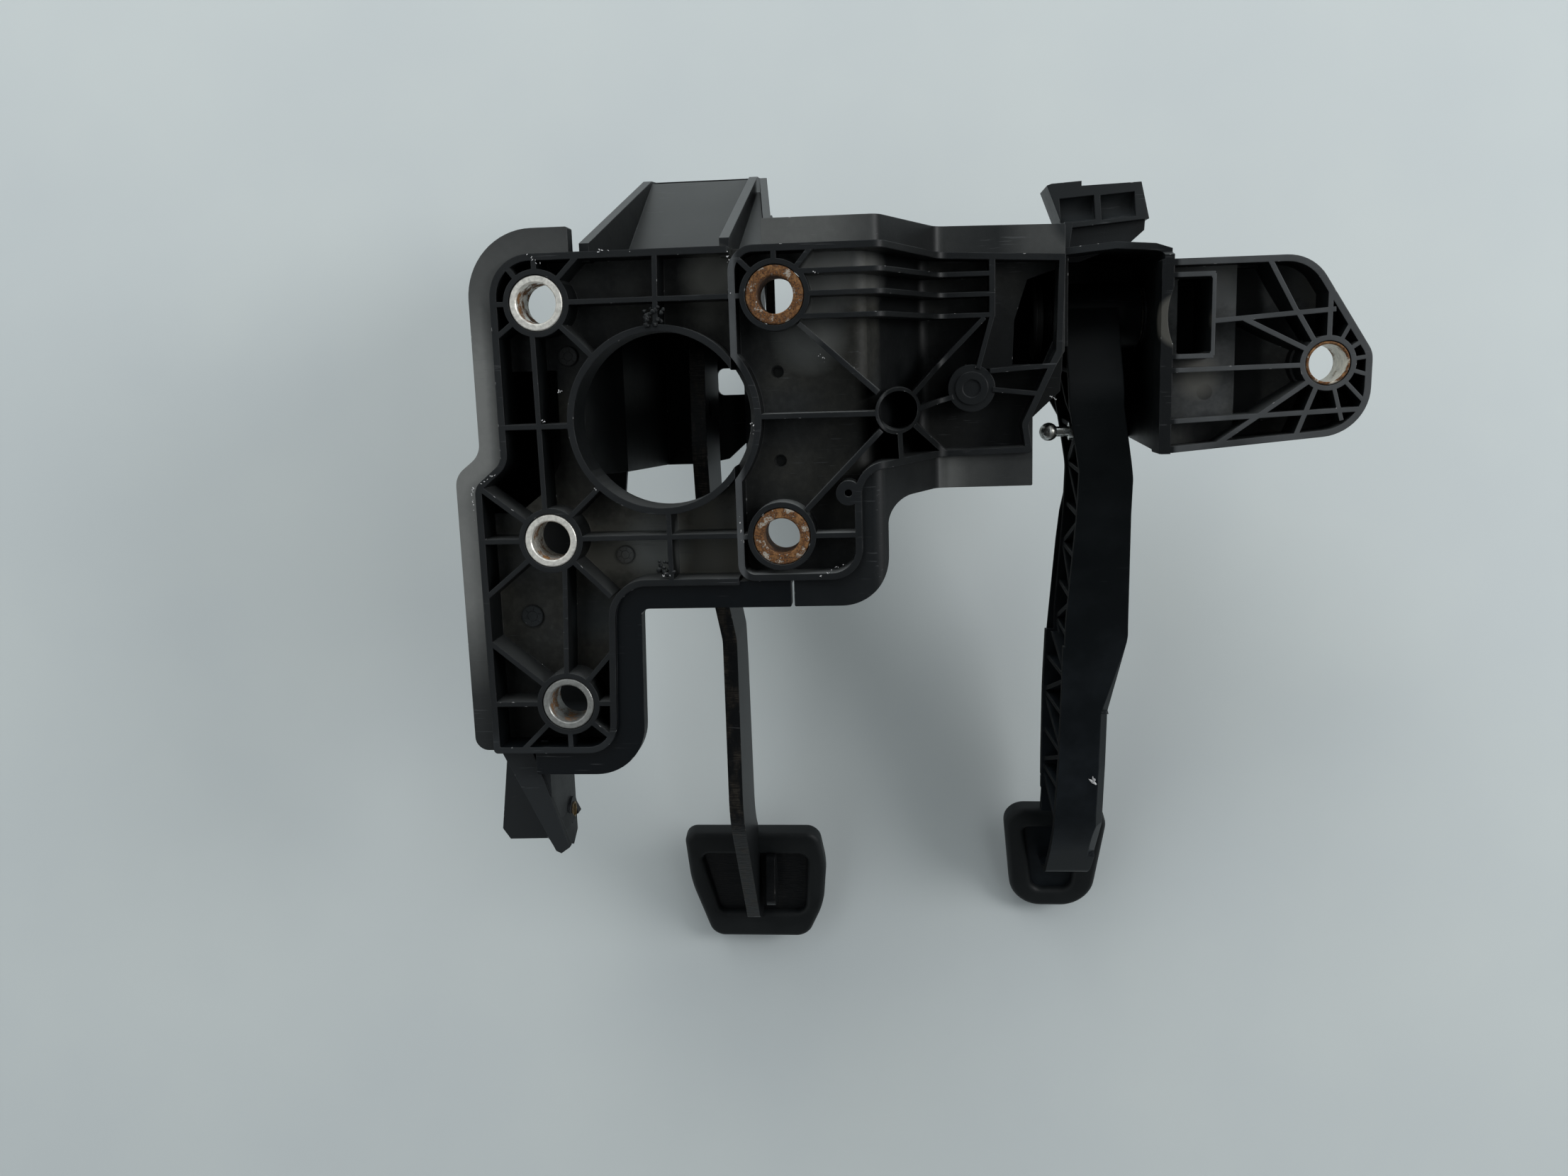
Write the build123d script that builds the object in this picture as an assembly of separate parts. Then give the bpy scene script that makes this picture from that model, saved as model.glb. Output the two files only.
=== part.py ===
"""Pedal box of a car with a manual gearbox: hanging brake and clutch pedals in two ribbed nylon mouldings.

X runs across the car towards the driver's left, Y from the bulkhead towards the driver, Z up.
The origin is the centre of the round opening for the brake servo's pushrod, in the plane that
meets the bulkhead.
"""
import os
from math import atan2, cos, degrees, hypot, radians, sin, tan

from build123d import *

os.makedirs("parts", exist_ok=True)

# Fixings on the bulkhead
bolt_spacing = 84.0
servo_opening_radius = 31.0
servo_collar = 2.4
low_sleeve_x = -39.3
low_sleeve_z = -103.0
side_sleeve_x = 242.8
side_sleeve_z = 12.7

# Spacer sleeves of steel, pressed into the mouldings
thin_sleeve_radius = 9.6
thin_sleeve_bore = 7.1
thick_sleeve_radius = 10.1
thick_sleeve_bore = 6.45
side_sleeve_radius = 8.0
side_sleeve_bore = 6.9
sleeve_gap = 0.25
boss_wall = 1.9

# Moulded walls
pocket_depth = 13.5
floor_thickness = 2.5
rim_wall = 2.4
rib_wall = 1.8
cheek_wall = 3.5
flange_setback = 2.0
flange_thickness = 2.5
flange_lip_wall = 2.2
flange_lip_depth = 4.0

pocket_back = 44.0

# Outline of the brake bracket, from the sleeves outwards
brake_top_margin = 17.0
brake_side_margin = 16.5
brake_bottom_margin = 17.3
leg_side_margin = 29.5
leg_inner_margin = 17.3
leg_inner_slant = 2.6
leg_bottom_margin = 19.0
lap_width = 30.0
lap_start = 26.0
flange_side = 8.2
flange_top = 8.8
flange_bottom = 7.4
flange_inner = 11.0
left_flange_end = -29.8

# Outline of the clutch bracket
clutch_side_margin = 28.6
step_run = 21.0
step_depth = 45.0
step_start = 79.0
cross_rib_x = 119.9
bay_left = 146.0
bay_right = 186.5
bay_back = 112.0
bay_roof = 58.5
bay_floor = -19.5
side_plate_pocket = 10.0
side_sleeve_length = 16.0

# Brake bay and its pivot
brake_bay_back = 120.0
brake_bay_bottom = -22.0
brake_cheek_left = -27.0
brake_cheek_right = 26.0
brake_cheek_taper = 6.0
left_flare_depth = 45.0
right_flare_depth = 66.0
hood_low_top = 49.5
hood_front_top = 62.5
hood_back_top = 98.0
brake_pivot_y = 98.0
brake_pivot_z = 69.0
brake_hub_left = -15.5
brake_hub_right = 20.8
brake_hub_radius = 9.5
bush_radius = 7.6
bush_flange = 1.2
bolt_radius = 5.0
bush_running_gap = 0.06
side_clearance = 0.3

# Clutch pivot
clutch_pivot_y = 88.0
clutch_pivot_z = 34.0
clutch_hub_radius = 13.0
clutch_bush_flange_radius = 10.5

# Brake pedal
arm_thickness = 6.0
arm_upper_x = 6.0
arm_lower_x = 13.0
joggle_top = -48.0
joggle_bottom = -94.0
clevis_hole_radius = 4.0
clevis_y = 63.0
clevis_z = 2.0
pad_tilt = 15.0
brake_pad_y = 127.0
brake_pad_z = -229.0
pad_plate_thickness = 3.0
rubber_rim = 3.5
rubber_front = 6.0
rubber_back = 3.5
rubber_lip = 10.0

# Clutch pedal
clutch_left = 152.5
clutch_wall = 3.0
lattice_rib = 1.8
clutch_pad_x = 155.0
clutch_pad_y = 143.0
clutch_pad_z = -219.0
ball_radius = 3.6
ball_x = 143.5
ball_y = 66.0
ball_z = -11.0

half = bolt_spacing / 2
floor_back = pocket_depth + floor_thickness


def corner(before, here, after, radius):
    """The two tangent points and the middle point of a rounded corner."""
    here_v = Vector(*here)
    back = (Vector(*before) - here_v).normalized()
    ahead = (Vector(*after) - here_v).normalized()
    half_angle = radians(back.get_angle(ahead)) / 2
    reach = radius / tan(half_angle)
    middle = (back + ahead).normalized() * (radius / sin(half_angle) - radius)
    return here_v + back * reach, here_v + middle, here_v + ahead * reach


def outline(corners):
    """A face bounded by straight runs and rounded corners, each corner given as x, y and radius."""
    edges = []
    rounds = []
    count = len(corners)
    for i, (x, y, radius) in enumerate(corners):
        before = corners[i - 1][:2]
        after = corners[(i + 1) % count][:2]
        if radius > 0:
            rounds.append(corner(before, (x, y), after, radius))
        else:
            rounds.append((Vector(x, y), None, Vector(x, y)))
    for i in range(count):
        start, middle, end = rounds[i]
        if middle is not None:
            edges.append(ThreePointArc(start, middle, end))
        following = rounds[(i + 1) % count][0]
        if (following - end).length > 1e-6:
            edges.append(Line(end, following))
    return make_face(edges)


def moved_in(corners, distance):
    """The same anticlockwise outline, moved inwards by a distance, with its corners concentric."""
    lines = []
    count = len(corners)
    for i in range(count):
        x0, y0 = corners[i][:2]
        x1, y1 = corners[(i + 1) % count][:2]
        length = hypot(x1 - x0, y1 - y0)
        ux, uy = (x1 - x0) / length, (y1 - y0) / length
        lines.append((x0 - uy * distance, y0 + ux * distance, ux, uy))
    result = []
    for i in range(count):
        ax, ay, aux, auy = lines[i - 1]
        bx, by, bux, buy = lines[i]
        cross = aux * buy - auy * bux
        t = ((bx - ax) * buy - (by - ay) * bux) / cross
        radius = corners[i][2]
        if radius > 0:
            radius = max(radius - distance if cross > 0 else radius + distance, 0.4)
        result.append((ax + aux * t, ay + auy * t, radius))
    return result


def strip(start, end, width):
    """A thin rectangle between two points, for one rib."""
    dx, dy = end[0] - start[0], end[1] - start[1]
    middle = Pos((start[0] + end[0]) / 2, (start[1] + end[1]) / 2)
    return middle * Rot(0, 0, degrees(atan2(dy, dx))) * Rectangle(hypot(dx, dy), width)


def spoke(centre, angle, inner, outer, width):
    """A rib that leaves a boss at an angle, from one radius to another."""
    c, s = cos(radians(angle)), sin(radians(angle))
    start = (centre[0] + c * inner, centre[1] + s * inner)
    return strip(start, (centre[0] + c * outer, centre[1] + s * outer), width)


def disc(x, y, radius):
    return Pos(x, y) * Circle(radius)


def slab(sketch, front, back):
    """A front-view sketch (X, Z) as a solid between two depths."""
    return extrude(Plane.XZ.offset(-back) * sketch, amount=back - front, dir=(0, -1, 0))


def side(sketch, left, right):
    """A side-view sketch (Y, Z) as a solid between two stations across the car."""
    return extrude(Plane.YZ.offset(left) * sketch, amount=right - left, dir=(1, 0, 0))


def plan(sketch, low, high):
    """A plan-view sketch (X, Y) as a solid between two heights."""
    return extrude(Plane.XY.offset(low) * sketch, amount=high - low, dir=(0, 0, 1))


def joined(sketches):
    """One sketch from many."""
    total = sketches[0]
    for sketch in sketches[1:]:
        total = total + sketch
    return total


# Front view of the brake bracket. The plate runs on under the clutch bracket to its right edge.
brake_top = half + brake_top_margin
brake_left = -half - brake_side_margin
brake_bottom = -half - brake_bottom_margin
leg_left = low_sleeve_x - leg_side_margin
leg_right = low_sleeve_x + leg_inner_margin
leg_bottom = low_sleeve_z - leg_bottom_margin
lap_end = lap_start + lap_width
brake_corners = [
    (leg_left, leg_bottom, 1.5),
    (leg_right, leg_bottom, 11),
    (leg_right + leg_inner_slant, brake_bottom, 12),
    (lap_end, brake_bottom, 2),
    (lap_end, brake_top, 2),
    (brake_left, brake_top, 15),
    (brake_left, -13.5, 6),
    (leg_left, -22, 6),
]
upper_left = (-half, half)
middle_left = (-half, -half)
upper_centre = (half, half)
lower_centre = (half, -half)
low_sleeve = (low_sleeve_x, low_sleeve_z)


def brake_front_ribs():
    """Ribs that stand on the floor of the brake bracket, as seen from the bulkhead."""
    boss = thin_sleeve_radius + sleeve_gap + boss_wall / 2
    collar = servo_opening_radius
    ribs = [spoke(upper_left, angle, boss, 25, rib_wall) for angle in (180, 217, 128, 45)]
    ribs.append(spoke(upper_left, 90, boss, brake_top_margin, rib_wall))
    ribs.append(strip((-half + boss, half), (lap_start, half), rib_wall))
    ribs.append(strip((-half - 2, half - boss), (-half - 1.5, -half + boss), rib_wall))
    ribs.append(strip((-half + 7, half - 7), (-23, 23), rib_wall))
    ribs.append(strip((brake_left, -1), (-collar, -1), rib_wall))
    ribs.append(strip((-0.1, collar), (0.8, brake_top), rib_wall))
    ribs += [spoke(middle_left, angle, boss, 34, rib_wall) for angle in (142, 180, 219)]
    ribs.append(strip((-half + 7, -half + 8), (-23, -23), rib_wall))
    ribs.append(strip((-half + boss, -half + 0.5), (lap_start, -half + 0.5), rib_wall))
    ribs.append(strip((-half + 8, -half - 8), (-21, -63), rib_wall))
    ribs.append(strip((-half + 4.5, -half - 10), (low_sleeve_x, low_sleeve_z + boss), rib_wall))
    ribs.append(strip((1.5, -collar), (1.5, brake_bottom), rib_wall))
    ribs += [spoke(low_sleeve, angle, boss, 36, rib_wall) for angle in (140, 180, 224, 270, 320, 0, 48)]
    return joined(ribs)


def brake_plate():
    """Front plate of the brake bracket with its rim, ribs, bosses and turned edge."""
    plate = outline(brake_corners)
    inside = outline(moved_in(brake_corners, rim_wall))
    collar = Circle(servo_opening_radius + servo_collar)
    boss_radius = thin_sleeve_radius + sleeve_gap + boss_wall
    bosses = [disc(*place, boss_radius) for place in (upper_left, middle_left, low_sleeve)]
    standing = (plate - inside) + (brake_front_ribs() & plate) + joined(bosses) + collar
    standing = standing & Pos(lap_start - 150, 0) * Rectangle(300, 400)
    standing = standing & plate
    body = slab(standing, 0, pocket_depth) + slab(plate, pocket_depth, floor_back)
    for x, z, radius in ((-35, 23.6, 3.6), (-17.7, -49.4, 3.4), (-54.5, -72.1, 4.2)):
        body += slab(disc(x, z, radius), pocket_depth - 0.8, pocket_depth)
    for place in (upper_centre, lower_centre):
        body += slab(disc(*place, thick_sleeve_radius + 3), floor_back, floor_back + 2)
    return body


def rear_stay():
    """Wall behind the leg that ties the foot to the gusset under the brake bay."""
    wall = Polygon((59, -14), (61.5, -14), (foot_depth, leg_bottom - 14),
                   (foot_depth - 3, leg_bottom - 14), align=None)
    outline_xz = Polygon((-66, leg_bottom - 14), (foot_right - 1, leg_bottom - 14),
                         (foot_right + 6, leg_bottom + 2),
                         (-30, -84), (-24.5, -14), (-57, -14), (-66, -40), align=None)
    return side(wall, -70, -20) & slab(outline_xz, 30, 70)


def deep_pocket():
    """Hollow behind the left side of the plate, and the opening in the floor that leads into it."""
    inside = outline(moved_in(brake_corners, rim_wall))
    shape = Polygon((-80, 18.6), (-39.6, 18.6), (-39.9, -14), (-45.8, -24.6), (-57, -33), (-80, -33),
                    align=None)
    opening = inside & shape
    box = offset(opening, amount=2.2)
    hollow = slab(opening, pocket_depth, pocket_back - 2.2)
    return slab(box, floor_back - 0.5, pocket_back), hollow


def turned_edge(outer, plate, front):
    """Flange round a plate: a flat ring with its outer edge turned back, closed at its ends."""
    ring = outline(outer) - plate
    lip = (outline(outer) - outline(moved_in(outer, flange_lip_wall))) - plate
    back = front + flange_thickness
    return slab(ring, front, back) + slab(lip, back, back + flange_lip_depth)


def brake_flange():
    """The turned edge of the brake bracket: one run up the left side, one round the leg."""
    plate = outline(moved_in(brake_corners, 0.3))
    left = [
        (leg_left - flange_side + 0.7, leg_bottom + 0.8, 5),
        (leg_left + 12, leg_bottom + 0.8, 0),
        (left_flange_end, half, 0),
        (left_flange_end, brake_top + flange_top, 0.8),
        (brake_left - flange_side, brake_top + flange_top, 24),
        (brake_left - flange_side, -10.5, 8),
        (leg_left - flange_side + 0.7, -18, 8),
    ]
    lower = [
        (-53.5, leg_bottom - flange_top, 1),
        (leg_right + flange_inner - 1.0, leg_bottom - flange_top, 19),
        (leg_right + flange_inner + 0.6, brake_bottom - flange_bottom - 1.2, 3),
        (44.6, brake_bottom - flange_bottom - 1.2, 0.6),
        (44.6, -half, 0),
        (-53.5, -half, 0),
    ]
    under = Pos((lap_start - 2 + 44.6) / 2, clutch_bottom - 1.35) * Rectangle(44.6 - lap_start + 2, 2.2)
    body = turned_edge(left, plate, flange_setback) + turned_edge(lower, plate, flange_setback)
    body -= slab(outline(moved_in(clutch_corners, -0.25)), -1, pocket_depth)
    body += slab(under, flange_setback, floor_back)
    return body + slab(Pos(0, 0.6) * under, pocket_depth, floor_back)


def brake_bay():
    """Cheeks, hood and back wall that carry the brake pivot behind the plate."""
    profile = Polygon(
        (floor_back - 1, brake_bay_bottom + 2), (brake_bay_back, brake_bay_bottom - 2),
        (brake_bay_back, hood_back_top), (brake_bay_back - 14, hood_back_top - 1),
        (8, hood_front_top), (8, brake_top - 3), (floor_back - 1, brake_top - 3), align=None)
    root = servo_opening_radius + 0.6
    left_back = brake_cheek_left + brake_cheek_taper
    right_back = brake_cheek_right + 1
    outer_line = [(-root - cheek_wall, 15), (brake_cheek_left + 1.7, left_flare_depth),
                  (left_back, brake_bay_back),
                  (right_back, brake_bay_back), (brake_cheek_right + 0.3, right_flare_depth),
                  (root + cheek_wall + 0.8, 15)]
    inner_line = [(-root, 8), (-root, 15), (brake_cheek_left + 1.7 + cheek_wall, left_flare_depth),
                  (left_back + cheek_wall, brake_bay_back + 9),
                  (right_back - cheek_wall, brake_bay_back + 9),
                  (brake_cheek_right + 0.3 - cheek_wall, right_flare_depth), (root + 0.8, 15),
                  (root + 0.8, 8)]
    footprint = Polygon(*outer_line, align=None)
    flared = plan(footprint - Polygon(*inner_line, align=None), -40, hood_low_top)
    left = Polygon(
        (brake_cheek_left - 0.4, 8), (brake_cheek_left - 0.4 + cheek_wall, 8),
        (left_back + cheek_wall, brake_bay_back), (left_back, brake_bay_back), align=None)
    right = Polygon(
        (brake_cheek_right - cheek_wall, 8), (brake_cheek_right, 8),
        (right_back, brake_bay_back), (right_back - cheek_wall, brake_bay_back), align=None)
    cheeks = (flared + plan(left + right, hood_low_top - 1, 120)) & side(profile, -60, 60)
    back = Polygon(
        (left_back, brake_bay_bottom - 2), (-1, brake_bay_bottom - 2), (9, brake_bay_bottom),
        (17, -15), (right_back, -10), (right_back, hood_back_top), (left_back, hood_back_top), align=None)
    seat = Pos(12, 12) * RectangleRounded(14, 11.6, 3)
    wall = slab(back - seat, brake_bay_back - 3, brake_bay_back)
    hood_line = [(floor_back - 1, hood_low_top), (40.5, hood_low_top), (107, 96), (brake_bay_back, 97.5)]
    under = [(brake_bay_back, 95), (108.2, 93.4), (41.4, hood_low_top - 2.5),
             (floor_back - 1, hood_low_top - 2.5)]
    hood = side(Polygon(*hood_line, *under, align=None), -60, 60) & plan(footprint, 0, 120)
    buttress_plan = Polygon((38, floor_back - 1), (41, floor_back - 1), (31, 104), (28, 104), align=None)
    buttress_side = Polygon((floor_back - 1, 26), (104, 62), (104, 96), (floor_back - 1, 58.5), align=None)
    buttress = plan(buttress_plan, 0, 110) & side(buttress_side, 20, 60)
    shoulder_plan = Polygon(
        (brake_cheek_right - 1, floor_back - 1), (40, floor_back - 1), (30, 103.5),
        (brake_cheek_right, 103.5), align=None)
    shoulder_side = Polygon((floor_back - 1, 50), (104, 88), (104, 90.5), (floor_back - 1, 52.5), align=None)
    shoulder = plan(shoulder_plan, 0, 110) & side(shoulder_side, 20, 60)
    return cheeks + wall + hood + buttress + shoulder


def brake_bay_gussets():
    """Webs behind the plate that prop the cheeks."""
    total = None
    for z in (57, 12, -16):
        left = Polygon((-56, floor_back - 0.5), (-33.5, floor_back - 0.5), (-24, 45), (-23, 62), (-25, 62),
                       align=None)
        web = plan(left, z - 1, z + 1)
        total = web if total is None else total + web
    for z in (12, -14):
        right = Polygon((34, floor_back - 0.5), (54, floor_back - 0.5), (27.5, 64), (25.5, 62), align=None)
        total += plan(right, z - 1, z + 1)
    return total


# Foot bracket under the leg, with a threaded insert that faces to the right
foot_top = leg_bottom + 3
foot_depth = 41.0
foot_wall = 3.0
insert_y = 34.0
insert_z = -156.3
insert_radius = 3.2
insert_length = 10.0
foot_right = -49.9


def foot_bracket():
    """Bracket that hangs below the leg: a slanted flange, two walls and a back plate."""
    flange = Polygon(
        (leg_left + 0.2, leg_bottom + 1), (-56.5, leg_bottom + 1), (-44.6, -158.8), (-43.9, -161.4),
        (-47.3, -163.8), (-49.3, -162.8), align=None)
    recess = Polygon((-57, leg_bottom + 1), (foot_right, leg_bottom + 1), (foot_right, -158),
                     (-46, -161.5), align=None)
    back = Polygon(
        (-76.5, leg_bottom - 13), (foot_right - 1, leg_bottom - 13), (foot_right - 1, -170), (-77.5, -170.5),
        (-80.5, -166), align=None)
    slanted = strip((leg_left + 1.6, leg_bottom + 1), (-49.3, -159.4), foot_wall)
    body = slab(flange, 6, 9) + slab(recess, 13, 15.5) + slab(back, foot_depth - foot_wall, foot_depth)
    body += slab(slanted, 6, foot_depth)
    right_wall = Polygon((7, foot_top), (foot_depth, foot_top), (foot_depth, -167), (34, -171),
                         (14, -162.5), (7, -157.5), align=None)
    body += side(right_wall, foot_right - foot_wall, foot_right)
    shelf = Polygon((leg_left + 1, leg_bottom + 3.5), (foot_right, leg_bottom + 3.5),
                    (foot_right, leg_bottom + 0.5),
                    (leg_left + 1, leg_bottom + 0.5), align=None)
    body += slab(shelf, floor_back - 1, foot_depth)
    body += side(disc(insert_y, insert_z, insert_radius + 2.2), foot_right - insert_length - 1,
                 foot_right + 0.8)
    return body


def pivot_bosses(y, z, left_outer, left_inner, right_inner, right_outer):
    """A pair of bosses on the cheeks, bored for the pivot bolt."""
    return side(disc(y, z, 11), left_outer, left_inner) + side(disc(y, z, 11), right_inner, right_outer)


brake_boss_left = brake_cheek_left + brake_cheek_taper - 3
brake_boss_right = brake_cheek_right + 7.3


def brake_bracket():
    """Left-hand moulding: plate, turned edge, brake bay and foot bracket in one piece."""
    body = brake_plate() + brake_flange() + brake_bay() + brake_bay_gussets() + foot_bracket()
    shell, hollow = deep_pocket()
    body = body + shell - hollow + rear_stay()
    body += pivot_bosses(
        brake_pivot_y, brake_pivot_z, brake_boss_left, brake_hub_left - side_clearance,
        brake_hub_right + side_clearance, brake_boss_right)
    body -= slab(Circle(servo_opening_radius), -1, floor_back + 1)
    for place in (upper_left, middle_left, low_sleeve):
        body -= slab(disc(*place, thin_sleeve_radius + sleeve_gap), -1, floor_back + 1)
    for place in (upper_centre, lower_centre):
        body -= slab(disc(*place, thick_sleeve_radius + sleeve_gap), 0, floor_back + 4)
    body -= side(disc(brake_pivot_y, brake_pivot_z, bolt_radius + 0.15), -60, 60)
    body -= side(disc(insert_y, insert_z, insert_radius), foot_right - insert_length, foot_right + 2)
    return body


# Clutch bracket. Its front surface steps back beside the brake bracket and stays back from there on.
clutch_right = half + clutch_side_margin
clutch_bottom = -half - 16
clutch_top = half + brake_top_margin
deep_top = 55.6
deep_bottom = -17.6
lap_back = pocket_depth
lap_pocket = pocket_depth - floor_thickness
clutch_corners = [
    (lap_start, clutch_bottom, 6),
    (clutch_right, clutch_bottom, 11),
    (clutch_right, -19, 9),
    (135, deep_bottom, 1),
    (133.4, -7, 2),
    (bay_left, 20, 1),
    (bay_left + 1, deep_top, 0),
    (step_start, clutch_top, 0),
    (lap_start, clutch_top, 9),
]


def front_line(depth, bend):
    """Plan view of the stepped front surface, moved back into the wall by a depth."""
    length = hypot(step_run, step_depth)
    ux, uy = step_run / length, step_depth / length
    x0, y0 = step_start - uy * depth, ux * depth
    near = (depth - y0) / uy
    far = (step_depth + depth - y0) / uy
    return [(lap_start - 5, depth, 0), (x0 + ux * near, depth, bend),
            (x0 + ux * far, step_depth + depth, bend),
            (bay_left + 3.5, step_depth + depth, 0)]


def band(front, back, bend=5.0):
    """The layer of the stepped wall between two depths."""
    corners = front_line(front, bend) + front_line(back, bend)[::-1]
    return plan(outline(corners), -80, 80)


def clutch_front_ribs():
    """Ribs on the front of the clutch bracket beside the brake bracket."""
    boss = thick_sleeve_radius + sleeve_gap + boss_wall / 2
    ring_centre = (84.1, 0.8)
    ribs = [strip((half + 9, z), (cross_rib_x, z), rib_wall) for z in (49.6, 42.1, 34.4)]
    ribs.append(strip((cross_rib_x, 33.6), (cross_rib_x, clutch_top), rib_wall + 0.4))
    ribs.append(strip((half + 8, half - 10), (77, 7.5), rib_wall))
    ribs.append(strip((servo_opening_radius + 3, 0.4), (77, 0.4), rib_wall))
    ribs.append(strip((78, -5.5), (half + 9, -half + 9), rib_wall))
    ribs.append(strip((84.5, -6.5), (85, -19.5), rib_wall))
    ribs.append(strip((90, 6.5), (117, 33.5), rib_wall))
    ribs.append(strip((cross_rib_x, 34), (114.5, 14.5), rib_wall))
    ribs.append(strip((91.5, 0.5), (105, 4.2), rib_wall))
    ribs.append(strip((90, -5), (103.5, -18.5), rib_wall))
    ribs.append(strip((119, 13.6), (144, 15), rib_wall))
    ribs.append(strip((120, 6.6), (140, 4.2), rib_wall))
    ribs.append(spoke(upper_centre, 90, boss, brake_top_margin, rib_wall))
    ribs.append(spoke(upper_centre, 50, boss, 22, rib_wall))
    ribs.append(spoke(upper_centre, 135, boss, 18, rib_wall))
    ribs.append(spoke(upper_centre, 180, boss, 17, rib_wall))
    ribs.append(spoke(lower_centre, 0, boss, clutch_side_margin, rib_wall))
    ribs.append(spoke(lower_centre, 180, boss, 17, rib_wall))
    ribs.append(strip((66, -27), (71, -25), 3.0))
    ribs.append(disc(*ring_centre, 8.2))
    ribs.append(disc(66, -27.1, 4.4))
    return joined(ribs) - disc(*ring_centre, 7.0)


def clutch_plate():
    """Stepped front wall of the clutch bracket, with rim, ribs, bosses and turned edge."""
    scallop = Circle(servo_opening_radius + servo_collar + side_clearance)
    scallop_rim = Circle(servo_opening_radius + servo_collar + side_clearance + rim_wall)
    plate = outline(clutch_corners) - scallop
    inside = outline(moved_in(clutch_corners, rim_wall)) - scallop_rim
    boss_radius = thick_sleeve_radius + sleeve_gap + boss_wall
    bosses = [disc(*place, boss_radius) for place in (upper_centre, lower_centre)]
    standing = ((plate - inside) + clutch_front_ribs() + joined(bosses)) & plate
    body = slab(standing, -1, 90) & band(0, lap_pocket)
    body += slab(plate, -1, 90) & band(lap_pocket, lap_back)
    pin = (112.1, 7.3)
    body += slab(disc(*pin, 8.9), step_depth + 0.6, step_depth + lap_pocket + 1)
    body += slab(disc(*pin, 6.2) - disc(*pin, 3.4), step_depth, step_depth + 1)
    return body


def clutch_flange():
    """Turned edge of the clutch bracket, which follows the step."""
    plate = outline(moved_in(clutch_corners, 0.3))
    top = clutch_top + flange_top
    outer = [
        (45.7, clutch_bottom - 9.8, 0.6),
        (clutch_right + 9.3, clutch_bottom - 9.8, 17),
        (clutch_right + 9.3, -30.5, 9),
        (135.2, -30.3, 0.6),
        (135.2, 0, 0),
        (bay_left + 1, 20, 0),
        (bay_left + 1, top - 1.2, 0.6),
        (step_start, top, 0),
        (37.8, top, 0.6),
        (37.8, 0, 0),
        (45.7, -10, 0),
    ]
    ring = outline(outer) - plate
    lip = (outline(outer) - outline(moved_in(outer, flange_lip_wall))) - plate
    back = flange_setback + flange_thickness
    turned = slab(ring, -1, 90) & band(flange_setback, back)
    return turned + (slab(lip, -1, 90) & band(back, back + flange_lip_depth))


side_corners = [
    (bay_right - cheek_wall - 1, bay_floor, 0.6),
    (side_sleeve_x + 15.6, side_sleeve_z - 25.8, 18),
    (side_sleeve_x + 15.8, side_sleeve_z + 3.5, 9),
    (side_sleeve_x - 6.8, side_sleeve_z + 39.6, 17),
    (bay_right - cheek_wall - 1, side_sleeve_z + 39.6, 0.6),
]
window_left = 190.4
window_right = 200.3
window_low = 17.7
window_high = 45.5
window_back = 76.0
window_wall = 2.0
window_middle = (window_low + window_high) / 2
dish_left = bay_right - 2.1
dish_radius = 27.0
sill_depth = 57.0
groove_left = 211.6
groove_right = 234.0
groove_depth = 9.0
far_floor_drop = 4.0
side_front = step_depth
side_floor = side_front + side_plate_pocket
side_back = side_floor + floor_thickness


def side_plate_ribs():
    """Ribs of the side plate: spokes from the sleeve and long stays towards the bay."""
    hub = (side_sleeve_x, side_sleeve_z)
    inner = side_sleeve_radius + 1
    left = bay_right - cheek_wall - 1
    ribs = [spoke(hub, angle, inner, 22, rib_wall - 0.3) for angle in (62, 33, 8, -18, -47, -75)]
    ribs.append(strip((left, 11.6), (side_sleeve_x - inner, 12.2), rib_wall))
    ribs.append(strip((window_right, 29.3), (side_sleeve_x + 2, 32.2), rib_wall))
    ribs.append(strip((212, 29.8), (side_sleeve_x - 7, 17.5), rib_wall))
    ribs.append(strip((220.5, 51), (231, 31.5), rib_wall))
    ribs.append(strip((231, 32), (side_sleeve_x - 5, 20.5), rib_wall))
    ribs.append(strip((side_sleeve_x, 21), (side_sleeve_x, 44), rib_wall))
    ribs.append(strip((left, -7.5), (side_sleeve_x + 12, -4.5), rib_wall))
    ribs.append(strip((side_sleeve_x - 7, 6), (203, -16.5), rib_wall))
    ribs.append(strip((side_sleeve_x - 4, 4), (232, -14), rib_wall))
    ribs.append(strip((left, window_low - 1), (window_right + 1, window_low - 1), rib_wall))
    ribs.append(strip((left, window_high + 1), (window_right + 1, window_high + 1), rib_wall))
    ribs.append(strip((window_right + 0.5, window_low - 1), (window_right + 0.5, window_high + 1), rib_wall))
    ribs.append(disc(*hub, side_sleeve_radius + sleeve_gap + boss_wall))
    return joined(ribs)


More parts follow.
